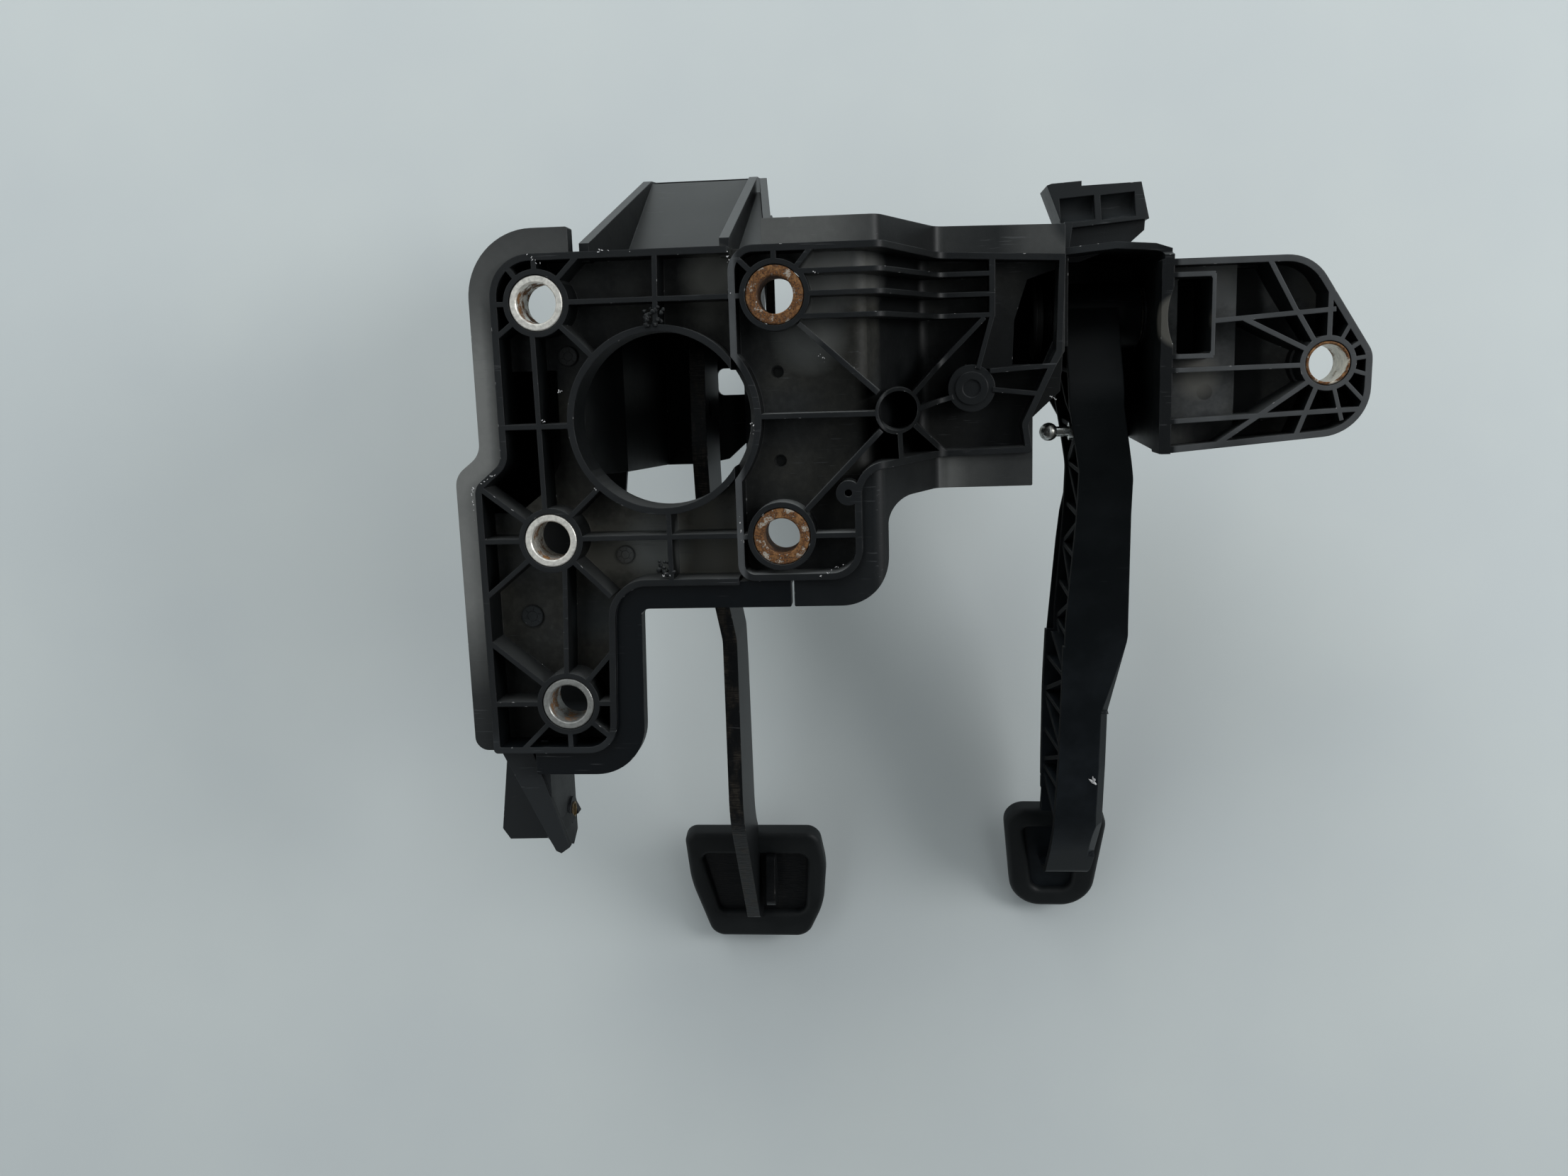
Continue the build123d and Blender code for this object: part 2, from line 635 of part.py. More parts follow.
def side_plate():
    """Plate to the right of the clutch bay, which reaches out to the fifth stud."""
    plate = outline(side_corners)
    inside = outline(moved_in(side_corners, rim_wall))
    standing = (plate - inside) + (side_plate_ribs() & plate)
    shallow = plate - Pos(groove_left + 50, 0) * Rectangle(100, 200)
    bottom = side_floor + groove_depth
    far_floor = side_floor + far_floor_drop
    front_of_floor = [(groove_left, side_floor, 0), (groove_left + 1, bottom, 2),
                      (groove_left + 12.5, bottom, 4),
                      (groove_right, far_floor, 14), (groove_right + 33, far_floor, 0)]
    back_of_floor = [(groove_right + 33, far_floor + floor_thickness, 0),
                     (groove_right + 1, far_floor + floor_thickness, 12),
                     (groove_left + 13, bottom + floor_thickness, 4),
                     (groove_left - 1.5, bottom + floor_thickness, 2),
                     (groove_left - 2.5, side_floor, 0)]
    in_front = [(groove_left - 1, side_front, 0), (groove_right + 33, side_front, 0)] + [
        (x, y + 0.8, 0) for x, y, _ in front_of_floor[::-1]]
    body = slab(standing, side_front, side_back - 0.5) + slab(shallow, side_floor, side_back)
    body += plan(outline(front_of_floor + back_of_floor), -60, 90) & slab(plate, side_front, side_back + 20)
    body += plan(outline(in_front), -60, 90) & slab(standing, side_front, side_back + 20)
    body += slab(disc(side_sleeve_x, side_sleeve_z, side_sleeve_radius + 3), side_floor,
                 side_front + side_sleeve_length)
    opening = Pos((window_left + window_right) / 2, (window_low + window_high) / 2) * RectangleRounded(
        window_right - window_left, window_high - window_low, 1.0)
    body += slab(offset(opening, amount=window_wall), side_floor, window_back)
    body += slab(Pos(window_left - 2, window_middle) * Rectangle(8, window_high - window_low + 4),
                 side_floor, sill_depth + 3)
    return body - slab(opening, side_front - 1, window_back - window_wall)


def clutch_bay():
    """Open-fronted bay for the clutch pedal: two cheeks, a roof and a back wall."""
    left_profile = Polygon(
        (step_depth + 12, 22), (bay_back, 22), (bay_back, bay_roof), (step_depth + 12, bay_roof), align=None)
    left = side(left_profile, bay_left, bay_left + cheek_wall)
    right_profile = Polygon(
        (side_front, bay_floor), (bay_back, bay_floor + 3), (bay_back, bay_roof),
        (side_front + 18, bay_roof),
        (side_front, bay_roof - 4.5), align=None)
    right = side(right_profile, bay_right - cheek_wall, bay_right)
    crown = bay_roof + 1.2
    shoulder = bay_roof - 2.0
    roof_line = [(bay_left, bay_roof - 0.5), (bay_left + 20, crown), (bay_right - 6, bay_roof),
                 (bay_right, shoulder)]
    under_roof = [(x, z - 2.6) for x, z in roof_line[::-1]]
    roof = slab(Polygon(*roof_line, *under_roof, align=None), side_front + 4, bay_back)
    back = Polygon(
        (bay_left, 6), (bay_left + 12, bay_floor + 3.5), (bay_right, bay_floor + 3.5), (bay_right, bay_roof),
        (bay_left, bay_roof), align=None)
    wall = slab(back, bay_back - floor_thickness, bay_back)
    gusset = Polygon((bay_right - 1, side_back - 1), (228, side_back + 3), (bay_right - 1, 103), align=None)
    props = plan(gusset, -8.5, -6.5) + plan(gusset, 49, 51)
    tab = Polygon((135.5, -5.5), (146.8, 5), (bay_left + 2, 24), (bay_left - 2, 24), (137, 8), align=None)
    tab_front = step_depth + lap_back - 1
    return left + right + roof + wall + props + slab(tab, tab_front, tab_front + 3)


holder_tilt = 4.0


def switch_holder():
    """Small open-fronted holder on the roof, with two troughs side by side."""
    front = Polygon(
        (148.2, 66.2), (180.3, 68.8), (177.2, 82.4), (154.9, 81.8), (154.9, 83.6), (143.6, 83.0),
        (141.9, 82.4), align=None)
    body = slab(front, 62, 84)
    for x, z, length in ((153.4, 73.2, 13.0), (168.6, 73.9, 12.8)):
        body -= Pos(x, 61.5, z) * Rot(0, 90 - holder_tilt, 0) * Cylinder(4.6, length)
    web = Polygon((147, 54), (155, 54), (174.3, 60.7), (179.3, 65.0), (179.6, 69.5), (147, 67.5), align=None)
    body += slab(web, 66, 69)
    body += slab(strip((bay_left + 2, bay_roof - 1), (149.5, 68), 3), 56, 82)
    return body


clutch_boss_left = bay_left - 4
clutch_boss_right = bay_right + 3.5
clutch_hub_left = bay_left + cheek_wall + 1.0
clutch_hub_right = bay_right - cheek_wall - 1.0


def side_pocket():
    """Dark pocket left of the clutch bay, behind the opening in the floor."""
    outer = Pos(135.5, 33.2) * Rectangle(24, 42.4)
    inner = Pos(136.2, 33.2) * Rectangle(20.6, 37.6)
    start = step_depth + lap_back - 1
    return slab(outer, start, bay_back) - slab(inner, start - 1, bay_back - 2.5)


def window_dish():
    """Shallow dish that opens the window's left side into the wall of the bay."""
    round_left = Pos(dish_left + dish_radius, window_middle) * Circle(dish_radius)
    height = window_high - window_low
    return slab(round_left & Pos(window_left - 3, window_middle) * Rectangle(12, height), side_front - 1,
                sill_depth)


def clutch_bracket():
    """Right-hand moulding: stepped plate, turned edge, clutch bay, side plate and holder."""
    body = clutch_plate() + clutch_flange() + clutch_bay() + side_plate() + switch_holder() - window_dish()
    peep = Polygon((128.4, 15.6), (144.6, 15.6), (144.6, 50.8), (134, 47.6), (131.5, 40), (129, 32),
                   align=None)
    body -= slab(peep, step_depth + lap_pocket - 0.5, step_depth + lap_back + 1)
    body += side_pocket()
    body += pivot_bosses(
        clutch_pivot_y, clutch_pivot_z, clutch_boss_left, clutch_hub_left - side_clearance,
        clutch_hub_right + side_clearance, clutch_boss_right)
    for place in (upper_centre, lower_centre):
        body -= slab(disc(*place, thick_sleeve_radius + sleeve_gap), -2, lap_back + 4)
    body -= slab(disc(side_sleeve_x, side_sleeve_z, side_sleeve_radius + sleeve_gap), 0, 90)
    body -= side(disc(clutch_pivot_y, clutch_pivot_z, bolt_radius + 0.15), 100, 230)
    body -= slab(disc(66, -27.1, 1.3), -1, 9)
    for x, z in ((41.5, 15.6), (41.6, -15.9)):
        body -= slab(disc(x, z, 2.0), 9, lap_pocket + 1.2)
    return body


def sleeve(x, z, radius, bore, front, length):
    """One spacer sleeve, turned from tube with broken edges."""
    ring = Circle(radius) - Circle(bore)
    body = extrude(ring, amount=length)
    body = chamfer(body.edges().filter_by(GeomType.CIRCLE), 0.4)
    return Pos(x, front + length, z) * Rot(90, 0, 0) * body


thin_length = floor_back
thick_length = floor_back + 2


# Brake pedal
def pad_plane(x, y, z):
    """Plane of a pad: its normal leans back and up towards the driver, its second axis points down."""
    tilt = radians(pad_tilt)
    return Plane(origin=(x, y, z), x_dir=(1, 0, 0), z_dir=(0, cos(tilt), sin(tilt)))


brake_pad_corners = [(-35.6, -32.2, 12), (36, -32.2, 12), (25.5, 27.5, 13), (-23.5, 27.5, 13)]
clutch_pad_corners = [(-23.7, -29, 13), (26, -28.5, 13), (20, 28, 17), (-18.5, 28, 17)]
brake_recess = [(-24.5, -23.5, 3), (26.5, -23.5, 3), (21.8, 12.5, 4), (-17.5, 12.5, 4)]
clutch_recess = [(-13.5, -18.5, 3), (12.5, -18.5, 3), (9.8, 18, 7), (-8.5, 18, 7)]
brake_pad_plane = pad_plane(arm_lower_x, brake_pad_y, brake_pad_z)
clutch_pad_plane = pad_plane(clutch_pad_x, clutch_pad_y, clutch_pad_z)


def layer(plane, face, back, front):
    """A solid on a pad plane, between two distances from it."""
    return extrude(plane.offset(back) * face, amount=front - back)


def pad_plate(plane, corners):
    """Plate that carries a pad's rubber."""
    half_plate = pad_plate_thickness / 2
    return layer(plane, outline(moved_in(corners, rubber_rim + 0.3)), -half_plate, half_plate)


def pad_rubber(plane, corners, bars, bar_width, slot, recess):
    """Rubber cap folded round the edge of its plate, with raised bars and a slot for the arm."""
    half_plate = pad_plate_thickness / 2
    body = layer(plane, outline(corners), -half_plate - rubber_back, rubber_front - 1.5)
    tread = outline(moved_in(corners, 3.0))
    for y in bars:
        body += layer(plane, tread & Pos(0, y) * Rectangle(100, bar_width), rubber_front - 1.6, rubber_front)
    body -= layer(plane, outline(moved_in(corners, rubber_rim)), -half_plate - 0.2, half_plate + 0.2)
    body -= layer(plane, outline(recess), -half_plate - rubber_back - 1, -half_plate)
    left, right, low = slot
    gap = Pos((left + right) / 2, -20) * Rectangle(right - left, 2 * (20 + low))
    return body - layer(plane, gap, -half_plate - rubber_back - 1, -half_plate + 0.6)


def pad_gusset():
    """Short upright fin with rounded ends, welded to the back of the brake pad's plate beside the arm."""
    fin = Pos(brake_pad_y - 8, -221.5) * Rot(0, 0, -pad_tilt) * RectangleRounded(15, 25, 5)
    return side(fin, 19.4, 23.6) - past(brake_pad_plane, pad_plate_thickness / 2 - 0.5)


def past(plane, start):
    """The space beyond a pad plate on the driver's side, to trim a pedal arm to its plate."""
    return layer(plane, Rectangle(120, 90), start, 60)


brake_arm_corners = [
    (84, 62, 0),
    (53, 28, 22),
    (50, -14, 40),
    (65.5, -95, 80),
    (64.5, -172, 34),
    (112, -238.5, 4),
    (140, -250.5, 1),
    (140, -205, 1),
    (107, -190, 26),
    (103, -110, 70),
    (87, -20, 60),
    (90, 24, 24),
    (111, 60, 0),
]


def brake_arm():
    """Steel plate arm: cut to a swept outline, joggled sideways and bored for the hub and the clevis pin."""
    profile = outline(brake_arm_corners) + disc(brake_pivot_y, brake_pivot_z, 13)
    profile -= disc(brake_pivot_y, brake_pivot_z, brake_hub_radius)
    profile -= disc(clevis_y, clevis_z, clevis_hole_radius)
    t = arm_thickness / 2
    bend = 18
    left = [(arm_upper_x - t, 100, 0), (arm_upper_x - t, joggle_top, bend),
            (arm_lower_x - t, joggle_bottom, bend),
            (arm_lower_x - t, -280, 0)]
    right = [(arm_lower_x + t, -280, 0), (arm_lower_x + t, joggle_bottom + 0.4, bend),
             (arm_upper_x + t, joggle_top + 0.4, bend), (arm_upper_x + t, 100, 0)]
    bent = slab(outline(left + right), 0, 200)
    arm = side(profile, -20, 40) & bent
    return arm - past(brake_pad_plane, -pad_plate_thickness / 2)


def tube(y, z, left, right, outer, inner):
    """A tube along X."""
    return side(disc(y, z, outer) - disc(y, z, inner), left, right)


def bush(y, z, face, inward, length, flange_radius, outer):
    """Flanged pivot bush with its flange at a face and its barrel pointing inwards (+1 or -1)."""
    bore = bolt_radius + bush_running_gap
    barrel_end = face + inward * length
    flange_end = face + inward * bush_flange
    barrel = tube(y, z, min(face, barrel_end), max(face, barrel_end), outer, bore)
    return barrel + tube(y, z, min(face, flange_end), max(face, flange_end), flange_radius, bore)


def hexagon(y, z, across_flats, left, right):
    return side(Pos(y, z) * RegularPolygon(across_flats / 2, 6, major_radius=False), left, right)


def pivot_bolt(y, z, head_face, end):
    """Hexagon flange bolt along X, with its head on the left."""
    body = side(disc(y, z, bolt_radius), head_face, end)
    body += side(disc(y, z, bolt_radius + 5), head_face - 2, head_face)
    body += hexagon(y, z, 15, head_face - 8.4, head_face - 2)
    return chamfer(body.edges().filter_by(GeomType.CIRCLE).sort_by(Axis.X)[-1], 0.8)


def pivot_pin(y, z, left_face, right_face):
    """Clutch pivot pin with a wide flat head on the left and a groove for its clip on the right."""
    end = right_face + 3.2
    body = side(disc(y, z, bolt_radius), left_face, end) + side(disc(y, z, 16.4), left_face - 2.4, left_face)
    body = chamfer(body.edges().filter_by(GeomType.CIRCLE).sort_by(Axis.X)[-1], 0.6)
    groove = disc(y, z, bolt_radius + 1) - disc(y, z, bolt_radius - 0.7)
    return body - side(groove, right_face + 0.2, right_face + 1.4)


def pin_clip(y, z, face):
    """Spring clip in the pin's groove: a flat ring with a slot at the bottom."""
    ring = disc(y, z, 8.5) - disc(y, z, bolt_radius - 0.7) - Pos(y, z - 8) * Rectangle(4.5, 16)
    return side(ring, face + 0.25, face + 1.35)


def pivot_nut(y, z, face):
    """Flange nut that closes a pivot."""
    body = side(disc(y, z, bolt_radius + 5), face, face + 2) + hexagon(y, z, 15, face + 2, face + 10)
    return body - side(disc(y, z, bolt_radius), face - 1, face + 12)


# Clutch pedal
clutch_front = [(77, 40, 0), (58, 4, 14), (61, -25, 30), (84, -95, 90), (95, -160, 120), (104, -195, 60),
                (121, -219, 6)]
clutch_rear = [(160, -232, 1), (160, -199, 1), (134.6, -193, 2), (134, -165, 60), (131.5, -130, 90),
               (122, -86, 60), (103, -20, 50),
               (101, 30, 0)]
clutch_silhouette = [
    (150.5, 60, 0), (150.5, 0, 8), (155.2, -27, 26), (155.2, -46, 60), (153.4, -92, 0), (153.4, -103, 0),
    (148.6, -103, 0), (148.6, -222, 5), (170, -222, 7), (173.2, -190, 20), (172.8, -134, 14),
    (179.4, -99, 20),
    (176.6, -45, 40), (176.2, -30, 14), (171.5, -1, 20), (171.5, 60, 0),
]
flare_top = -103.0
flare_left = 148.6
flare_front_left = 152.6


def lattice():
    """Side view of the ribs inside the open side of the clutch arm."""
    front = [(60, 12), (60, -10), (62, -28), (68, -46), (74, -64), (79, -82), (84, -100), (88, -118),
             (92, -136),
             (94, -154), (98, -172), (106, -190)]
    rear = [(101, 14), (101, -8), (105, -26), (110, -44), (115, -62), (120, -80), (126, -98), (130, -116),
            (134, -134), (137, -152), (140, -170), (143, -188)]
    ribs = []
    for i in range(len(front) - 1):
        ribs.append(strip(front[i], rear[i], lattice_rib))
        if i % 2:
            ribs.append(strip(front[i], rear[i + 1], lattice_rib))
        else:
            ribs.append(strip(rear[i], front[i + 1], lattice_rib))
    return joined(ribs)


bevel_path = [(181.0, 83.4, -101), (173.0, 90.6, -134), (173.0, 95.0, -160), (173.2, 102.7, -190),
              (171.5, 113, -208)]


def bevel_cut(start, end, size):
    """A long three-sided bar that takes the corner off the clutch arm's right front edge."""
    run = Vector(*end) - Vector(*start)
    across = Vector(1, 0, 0) - run.normalized() * run.normalized().X
    section = Polygon((-size - 2, 2), (2, -size - 2), (2, 2), align=None)
    bar = Plane(origin=start, x_dir=across, z_dir=run) * section
    return extrude(bar, amount=run.length, dir=run.normalized())


def clutch_arm():
    """Moulded clutch arm: smooth front wall, closed right side, ribbed open left side and a foot plate."""
    hub = disc(clutch_pivot_y, clutch_pivot_z, clutch_hub_radius)
    corners = clutch_front + clutch_rear
    profile = outline(corners)
    trimmed = slab(outline(clutch_silhouette), 0, 220)
    outer = side(profile + hub, 140, 200) & trimmed
    for start, end in zip(bevel_path, bevel_path[1:]):
        outer -= bevel_cut(start, end, 3.4)
    flare = Polygon((130, 60), (flare_front_left, 60), (flare_front_left, 92), (flare_left, 138),
                    (130, 138), align=None)
    outer -= plan(flare, -240, flare_top)
    hub = disc(clutch_pivot_y, clutch_pivot_z, clutch_hub_radius)
    inner_profile = outline(moved_in(corners, clutch_wall)) - hub
    right_edge = [(x - clutch_wall, max(z, -219), r) for x, z, r in clutch_silhouette if x > 165]
    pocket_edge = [(140, 60, 0), (140, -219, 0)] + right_edge
    pocket = side(inner_profile, 130, 200) & slab(outline(pocket_edge), 0, 220)
    arm = outer - pocket
    ribs = side(lattice(), 140, 200) & pocket & (Pos(1.2, 0, 0) * trimmed)
    ribs -= Pos(1.2, 0, 0) * plan(flare, -240, flare_top)
    arm += ribs
    stud_boss = side(disc(ball_y, ball_z, 5.5), clutch_left + 0.6, 172) & side(profile, 100, 200)
    arm += stud_boss
    arm -= past(clutch_pad_plane, -pad_plate_thickness / 2 + 0.4)
    arm += pad_plate(clutch_pad_plane, clutch_pad_corners)
    arm += side(hub, clutch_hub_left + bush_flange, clutch_hub_right - bush_flange)
    arm -= side(disc(clutch_pivot_y, clutch_pivot_z, bush_radius), 100, 230)
    seat = disc(clutch_pivot_y, clutch_pivot_z, clutch_bush_flange_radius + 0.1)
    arm -= side(seat, 100, clutch_hub_left + bush_flange) + side(seat, clutch_hub_right - bush_flange, 230)
    arm -= side(disc(ball_y, ball_z, 2.2), 140, ball_x + 22)
    arm -= side(disc(ball_y, ball_z, 3.6), 100, clutch_left + 0.6)
    return arm


def ball_stud():
    """Ball stud for the clutch cylinder's rod: ball, neck, collar and a shank pressed into the arm."""
    face = clutch_left + 0.6 - ball_x
    neck = 2.0
    leaves = (ball_radius ** 2 - neck ** 2) ** 0.5
    edges = [
        ThreePointArc((-ball_radius, 0), (0, ball_radius), (leaves, neck)),
        Polyline((leaves, neck), (face - 1.8, neck), (face - 1.8, 3.4), (face, 3.4), (face, neck + 0.15),
                 (face + 12, neck + 0.15), (face + 12, 0), (-ball_radius, 0)),
    ]
    return Pos(ball_x, ball_y, ball_z) * revolve(make_face(edges), Axis.X)


def bumper(x, y, z, radius, length):
    """Rubber rest stop with a bevelled nose that faces the bulkhead, its foot against a wall at y."""
    body = Pos(x, y - length / 2, z) * Rot(90, 0, 0) * Cylinder(radius, length)
    return chamfer(body.edges().filter_by(GeomType.CIRCLE).sort_by(Axis.Y)[0], 1.3)


pieces = {
    "brake_bracket": brake_bracket(),
    "clutch_bracket": clutch_bracket(),
    "sleeve_upper_left": sleeve(*upper_left, thin_sleeve_radius, thin_sleeve_bore, 0, thin_length),
    "sleeve_middle_left": sleeve(*middle_left, thin_sleeve_radius, thin_sleeve_bore, 0, thin_length),
    "sleeve_lower_left": sleeve(*low_sleeve, thin_sleeve_radius, thin_sleeve_bore, 0, thin_length),
    "sleeve_upper_centre": sleeve(*upper_centre, thick_sleeve_radius, thick_sleeve_bore, 0, thick_length),
    "sleeve_lower_centre": sleeve(*lower_centre, thick_sleeve_radius, thick_sleeve_bore, 0, thick_length),
    "sleeve_side": sleeve(side_sleeve_x, side_sleeve_z, side_sleeve_radius, side_sleeve_bore, side_front,
                          side_sleeve_length),
    "brake_arm": brake_arm(),
    "brake_hub_tube": tube(brake_pivot_y, brake_pivot_z, brake_hub_left + bush_flange,
                           brake_hub_right - bush_flange,
                           brake_hub_radius, bush_radius),
    "brake_bush_left": bush(brake_pivot_y, brake_pivot_z, brake_hub_left, 1, 14, brake_hub_radius,
                            bush_radius),
    "brake_bush_right": bush(brake_pivot_y, brake_pivot_z, brake_hub_right, -1, 14, brake_hub_radius,
                             bush_radius),
    "brake_pivot_bolt": pivot_bolt(brake_pivot_y, brake_pivot_z, brake_boss_left, brake_boss_right + 12),
    "brake_pivot_nut": pivot_nut(brake_pivot_y, brake_pivot_z, brake_boss_right),
    "brake_pad_plate": pad_plate(brake_pad_plane, brake_pad_corners) + pad_gusset(),
    "brake_pad_rubber": pad_rubber(brake_pad_plane, brake_pad_corners, (-20, -10, 0, 10, 20), 5.0,
                                   (-3.6, 3.6, 20.4),
                                   brake_recess),
    "clutch_arm": clutch_arm(),
    "clutch_bush_left": bush(clutch_pivot_y, clutch_pivot_z, clutch_hub_left, 1, 12,
                             clutch_bush_flange_radius, bush_radius),
    "clutch_bush_right": bush(clutch_pivot_y, clutch_pivot_z, clutch_hub_right, -1, 12,
                              clutch_bush_flange_radius, bush_radius),
    "clutch_pivot_pin": pivot_pin(clutch_pivot_y, clutch_pivot_z, clutch_boss_left, clutch_boss_right),
    "clutch_pin_clip": pin_clip(clutch_pivot_y, clutch_pivot_z, clutch_boss_right),
    "clutch_pad_rubber": pad_rubber(clutch_pad_plane, clutch_pad_corners, (-16, -8, 0, 8, 16), 4.0,
                                    (-7.2, 20.4, 9),
                                    clutch_recess),
    "clutch_ball_stud": ball_stud(),
    "brake_rest_bumper": bumper(arm_upper_x, brake_bay_back - 3, 43, 4.2, 13.0),
    "clutch_rest_bumper": bumper(163, bay_back - floor_thickness, -6, 5.0, 6.0),
    "foot_insert": side(disc(insert_y, insert_z, insert_radius) - disc(insert_y, insert_z, 2.5),
                        foot_right - insert_length, foot_right + 1.2),
}

for name, piece in pieces.items():
    export_step(piece, f"parts/{name}.step")
    print(name, len(piece.solids()), round(piece.volume))
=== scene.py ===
"""Looks of a pedal box with a hanging brake pedal and a hanging clutch pedal.

Lengths are written in millimetres and multiplied by mm. X runs across the car, Y from the bulkhead
towards the driver, Z up, with the origin in the middle of the round servo opening.
"""
import math
import random

import bmesh
import bpy
from mathutils import Matrix, Vector, noise


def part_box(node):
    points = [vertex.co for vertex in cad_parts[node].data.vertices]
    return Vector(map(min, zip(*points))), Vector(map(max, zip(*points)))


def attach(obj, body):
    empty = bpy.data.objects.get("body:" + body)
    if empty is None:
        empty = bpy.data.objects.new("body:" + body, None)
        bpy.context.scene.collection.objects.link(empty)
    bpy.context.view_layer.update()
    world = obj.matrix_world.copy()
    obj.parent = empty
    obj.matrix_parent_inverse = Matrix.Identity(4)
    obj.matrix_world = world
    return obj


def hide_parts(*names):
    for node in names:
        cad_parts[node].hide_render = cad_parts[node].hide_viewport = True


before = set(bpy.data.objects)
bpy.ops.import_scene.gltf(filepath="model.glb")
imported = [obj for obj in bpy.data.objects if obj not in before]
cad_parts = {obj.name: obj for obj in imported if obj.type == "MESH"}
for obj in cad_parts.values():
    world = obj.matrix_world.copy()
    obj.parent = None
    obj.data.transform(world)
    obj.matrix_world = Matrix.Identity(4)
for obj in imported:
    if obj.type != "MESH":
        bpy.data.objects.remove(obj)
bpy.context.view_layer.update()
mm = 0.001


def at(x, y, z):
    """A point given in millimetres."""
    return Vector((x, y, z)) * mm


# Camera: it looks squarely down on the box, which lies with its pads on the sheet, from the bulkhead's side
# and a little above the level of the pivots. Position and directions come from the four sleeves of the square.
view_point = at(81.3, -436.5, 16.1)
sight = Vector((-0.0879, 0.9811, -0.1725)).normalized()
level = Vector((0.996, 0.0838, -0.0308))
image_width = 2212
focal_pixels = 1750
sensor = 36

camera_data = bpy.data.cameras.new("camera")
camera_data.sensor_width = sensor
camera_data.lens = focal_pixels / image_width * sensor
camera_data.clip_start = 20 * mm
camera = bpy.data.objects.new("camera", camera_data)
bpy.context.scene.collection.objects.link(camera)
upright = level.cross(sight).normalized()
across = sight.cross(upright).normalized()
camera.matrix_world = Matrix.Translation(view_point) @ Matrix((across, upright, -sight)).transposed().to_4x4()
bpy.context.scene.camera = camera
bpy.context.scene.view_settings.view_transform = "Standard"


# Floor: one plain pale sheet that the pads touch, square to the line of sight. From behind it is clear,
# so the driver's side of the box can be seen.
sheet_clearance = 1.0 * mm
sheet_size = 2.6
sheet_colour = (0.56, 0.605, 0.605, 1)
sheet_cloud_colour = (0.532, 0.577, 0.587, 1)


def feed(tree, node, sockets):
    """Gives a node's sockets their values or links."""
    for name, value in sockets.items():
        if isinstance(value, bpy.types.NodeSocket):
            tree.links.new(value, node.inputs[name])
        else:
            node.inputs[name].default_value = value


def step(tree, kind, sockets=None, **settings):
    """One node of a finish: its settings, and the values or links of its sockets."""
    made = tree.nodes.new("ShaderNode" + kind)
    for name, value in settings.items():
        setattr(made, name, value)
    feed(tree, made, sockets or {})
    return made


def finish(name):
    """An empty finish: its material, node tree, surface shader and the place on the part in metres."""
    material = bpy.data.materials.new(name)
    material.use_nodes = True
    tree = material.node_tree
    surface = tree.nodes["Principled BSDF"]
    return material, tree, surface, step(tree, "TexCoord").outputs["Object"]


def reckoned(tree, operation, a, b=0.0):
    """The result of one operation on two values."""
    return step(tree, "Math", {0: a, 1: b}, operation=operation).outputs[0]


def times(tree, a, b):
    return reckoned(tree, "MULTIPLY", a, b)


def larger(tree, a, b):
    return reckoned(tree, "MAXIMUM", a, b)


def mixed(tree, factor, a, b):
    """Colour b over colour a."""
    return step(tree, "Mix", {0: factor, 6: a, 7: b}, data_type="RGBA").outputs[2]


def ramp(tree, value, low, high, start=0.0, end=1.0):
    """A value moved from one range to another, and held inside it."""
    return step(tree, "MapRange", {"Value": value, "From Min": low, "From Max": high,
                                   "To Min": start, "To Max": end}).outputs[0]


def cloud(tree, place, scale, detail=3.0, rough=0.55):
    """Soft noise between 0 and 1."""
    return step(tree, "TexNoise", {"Vector": place, "Scale": scale, "Detail": detail, "Roughness": rough}).outputs[0]


def clear_where(tree, surface, share):
    """Makes a finish see-through for some rays or sides."""
    clear = step(tree, "BsdfTransparent").outputs[0]
    both = step(tree, "MixShader", {0: share, 1: surface.outputs[0], 2: clear}).outputs[0]
    feed(tree, tree.nodes["Material Output"], {"Surface": both})


def set_square(place):
    """A place with its X and Y square to the line of sight."""
    return Matrix.Translation(place) @ Matrix((across, upright, -sight)).transposed().to_4x4()


def sheet_finish():
    material, tree, surface, place = finish("pale_sheet")
    tone = ramp(tree, cloud(tree, place, 9.0), 0.3, 0.7)
    feed(tree, surface, {"Base Color": mixed(tree, tone, sheet_colour, sheet_cloud_colour), "Roughness": 0.75})
    clear_where(tree, surface, step(tree, "NewGeometry").outputs["Backfacing"])
    return material


deepest = max((v.co - view_point).dot(sight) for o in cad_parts.values() for v in o.data.vertices)
sheet_shape = bmesh.new()
bmesh.ops.create_grid(sheet_shape, x_segments=1, y_segments=1, size=sheet_size / 2)
sheet_mesh = bpy.data.meshes.new("sheet")
sheet_shape.transform(set_square(view_point + sight * (deepest + sheet_clearance)))
sheet_shape.to_mesh(sheet_mesh)
sheet_shape.free()
sheet = bpy.data.objects.new("sheet", sheet_mesh)
bpy.context.scene.collection.objects.link(sheet)
sheet_mesh.materials.append(sheet_finish())


# Light: a pale sky that is brighter towards the top of the box, soft lamps above, beside and behind it, and a
# dark card behind and below the camera, which keeps the black mouldings black where they face it. The card
# doesn't show to the camera.
sky_strength = 0.78
background_strength = 0.72
sky_colour = (0.93, 0.98, 1.0, 1)
sky_top = Vector((-0.25, -0.15, 0.95)).normalized()
sky_low_share, sky_high_share = 0.3, 1.3

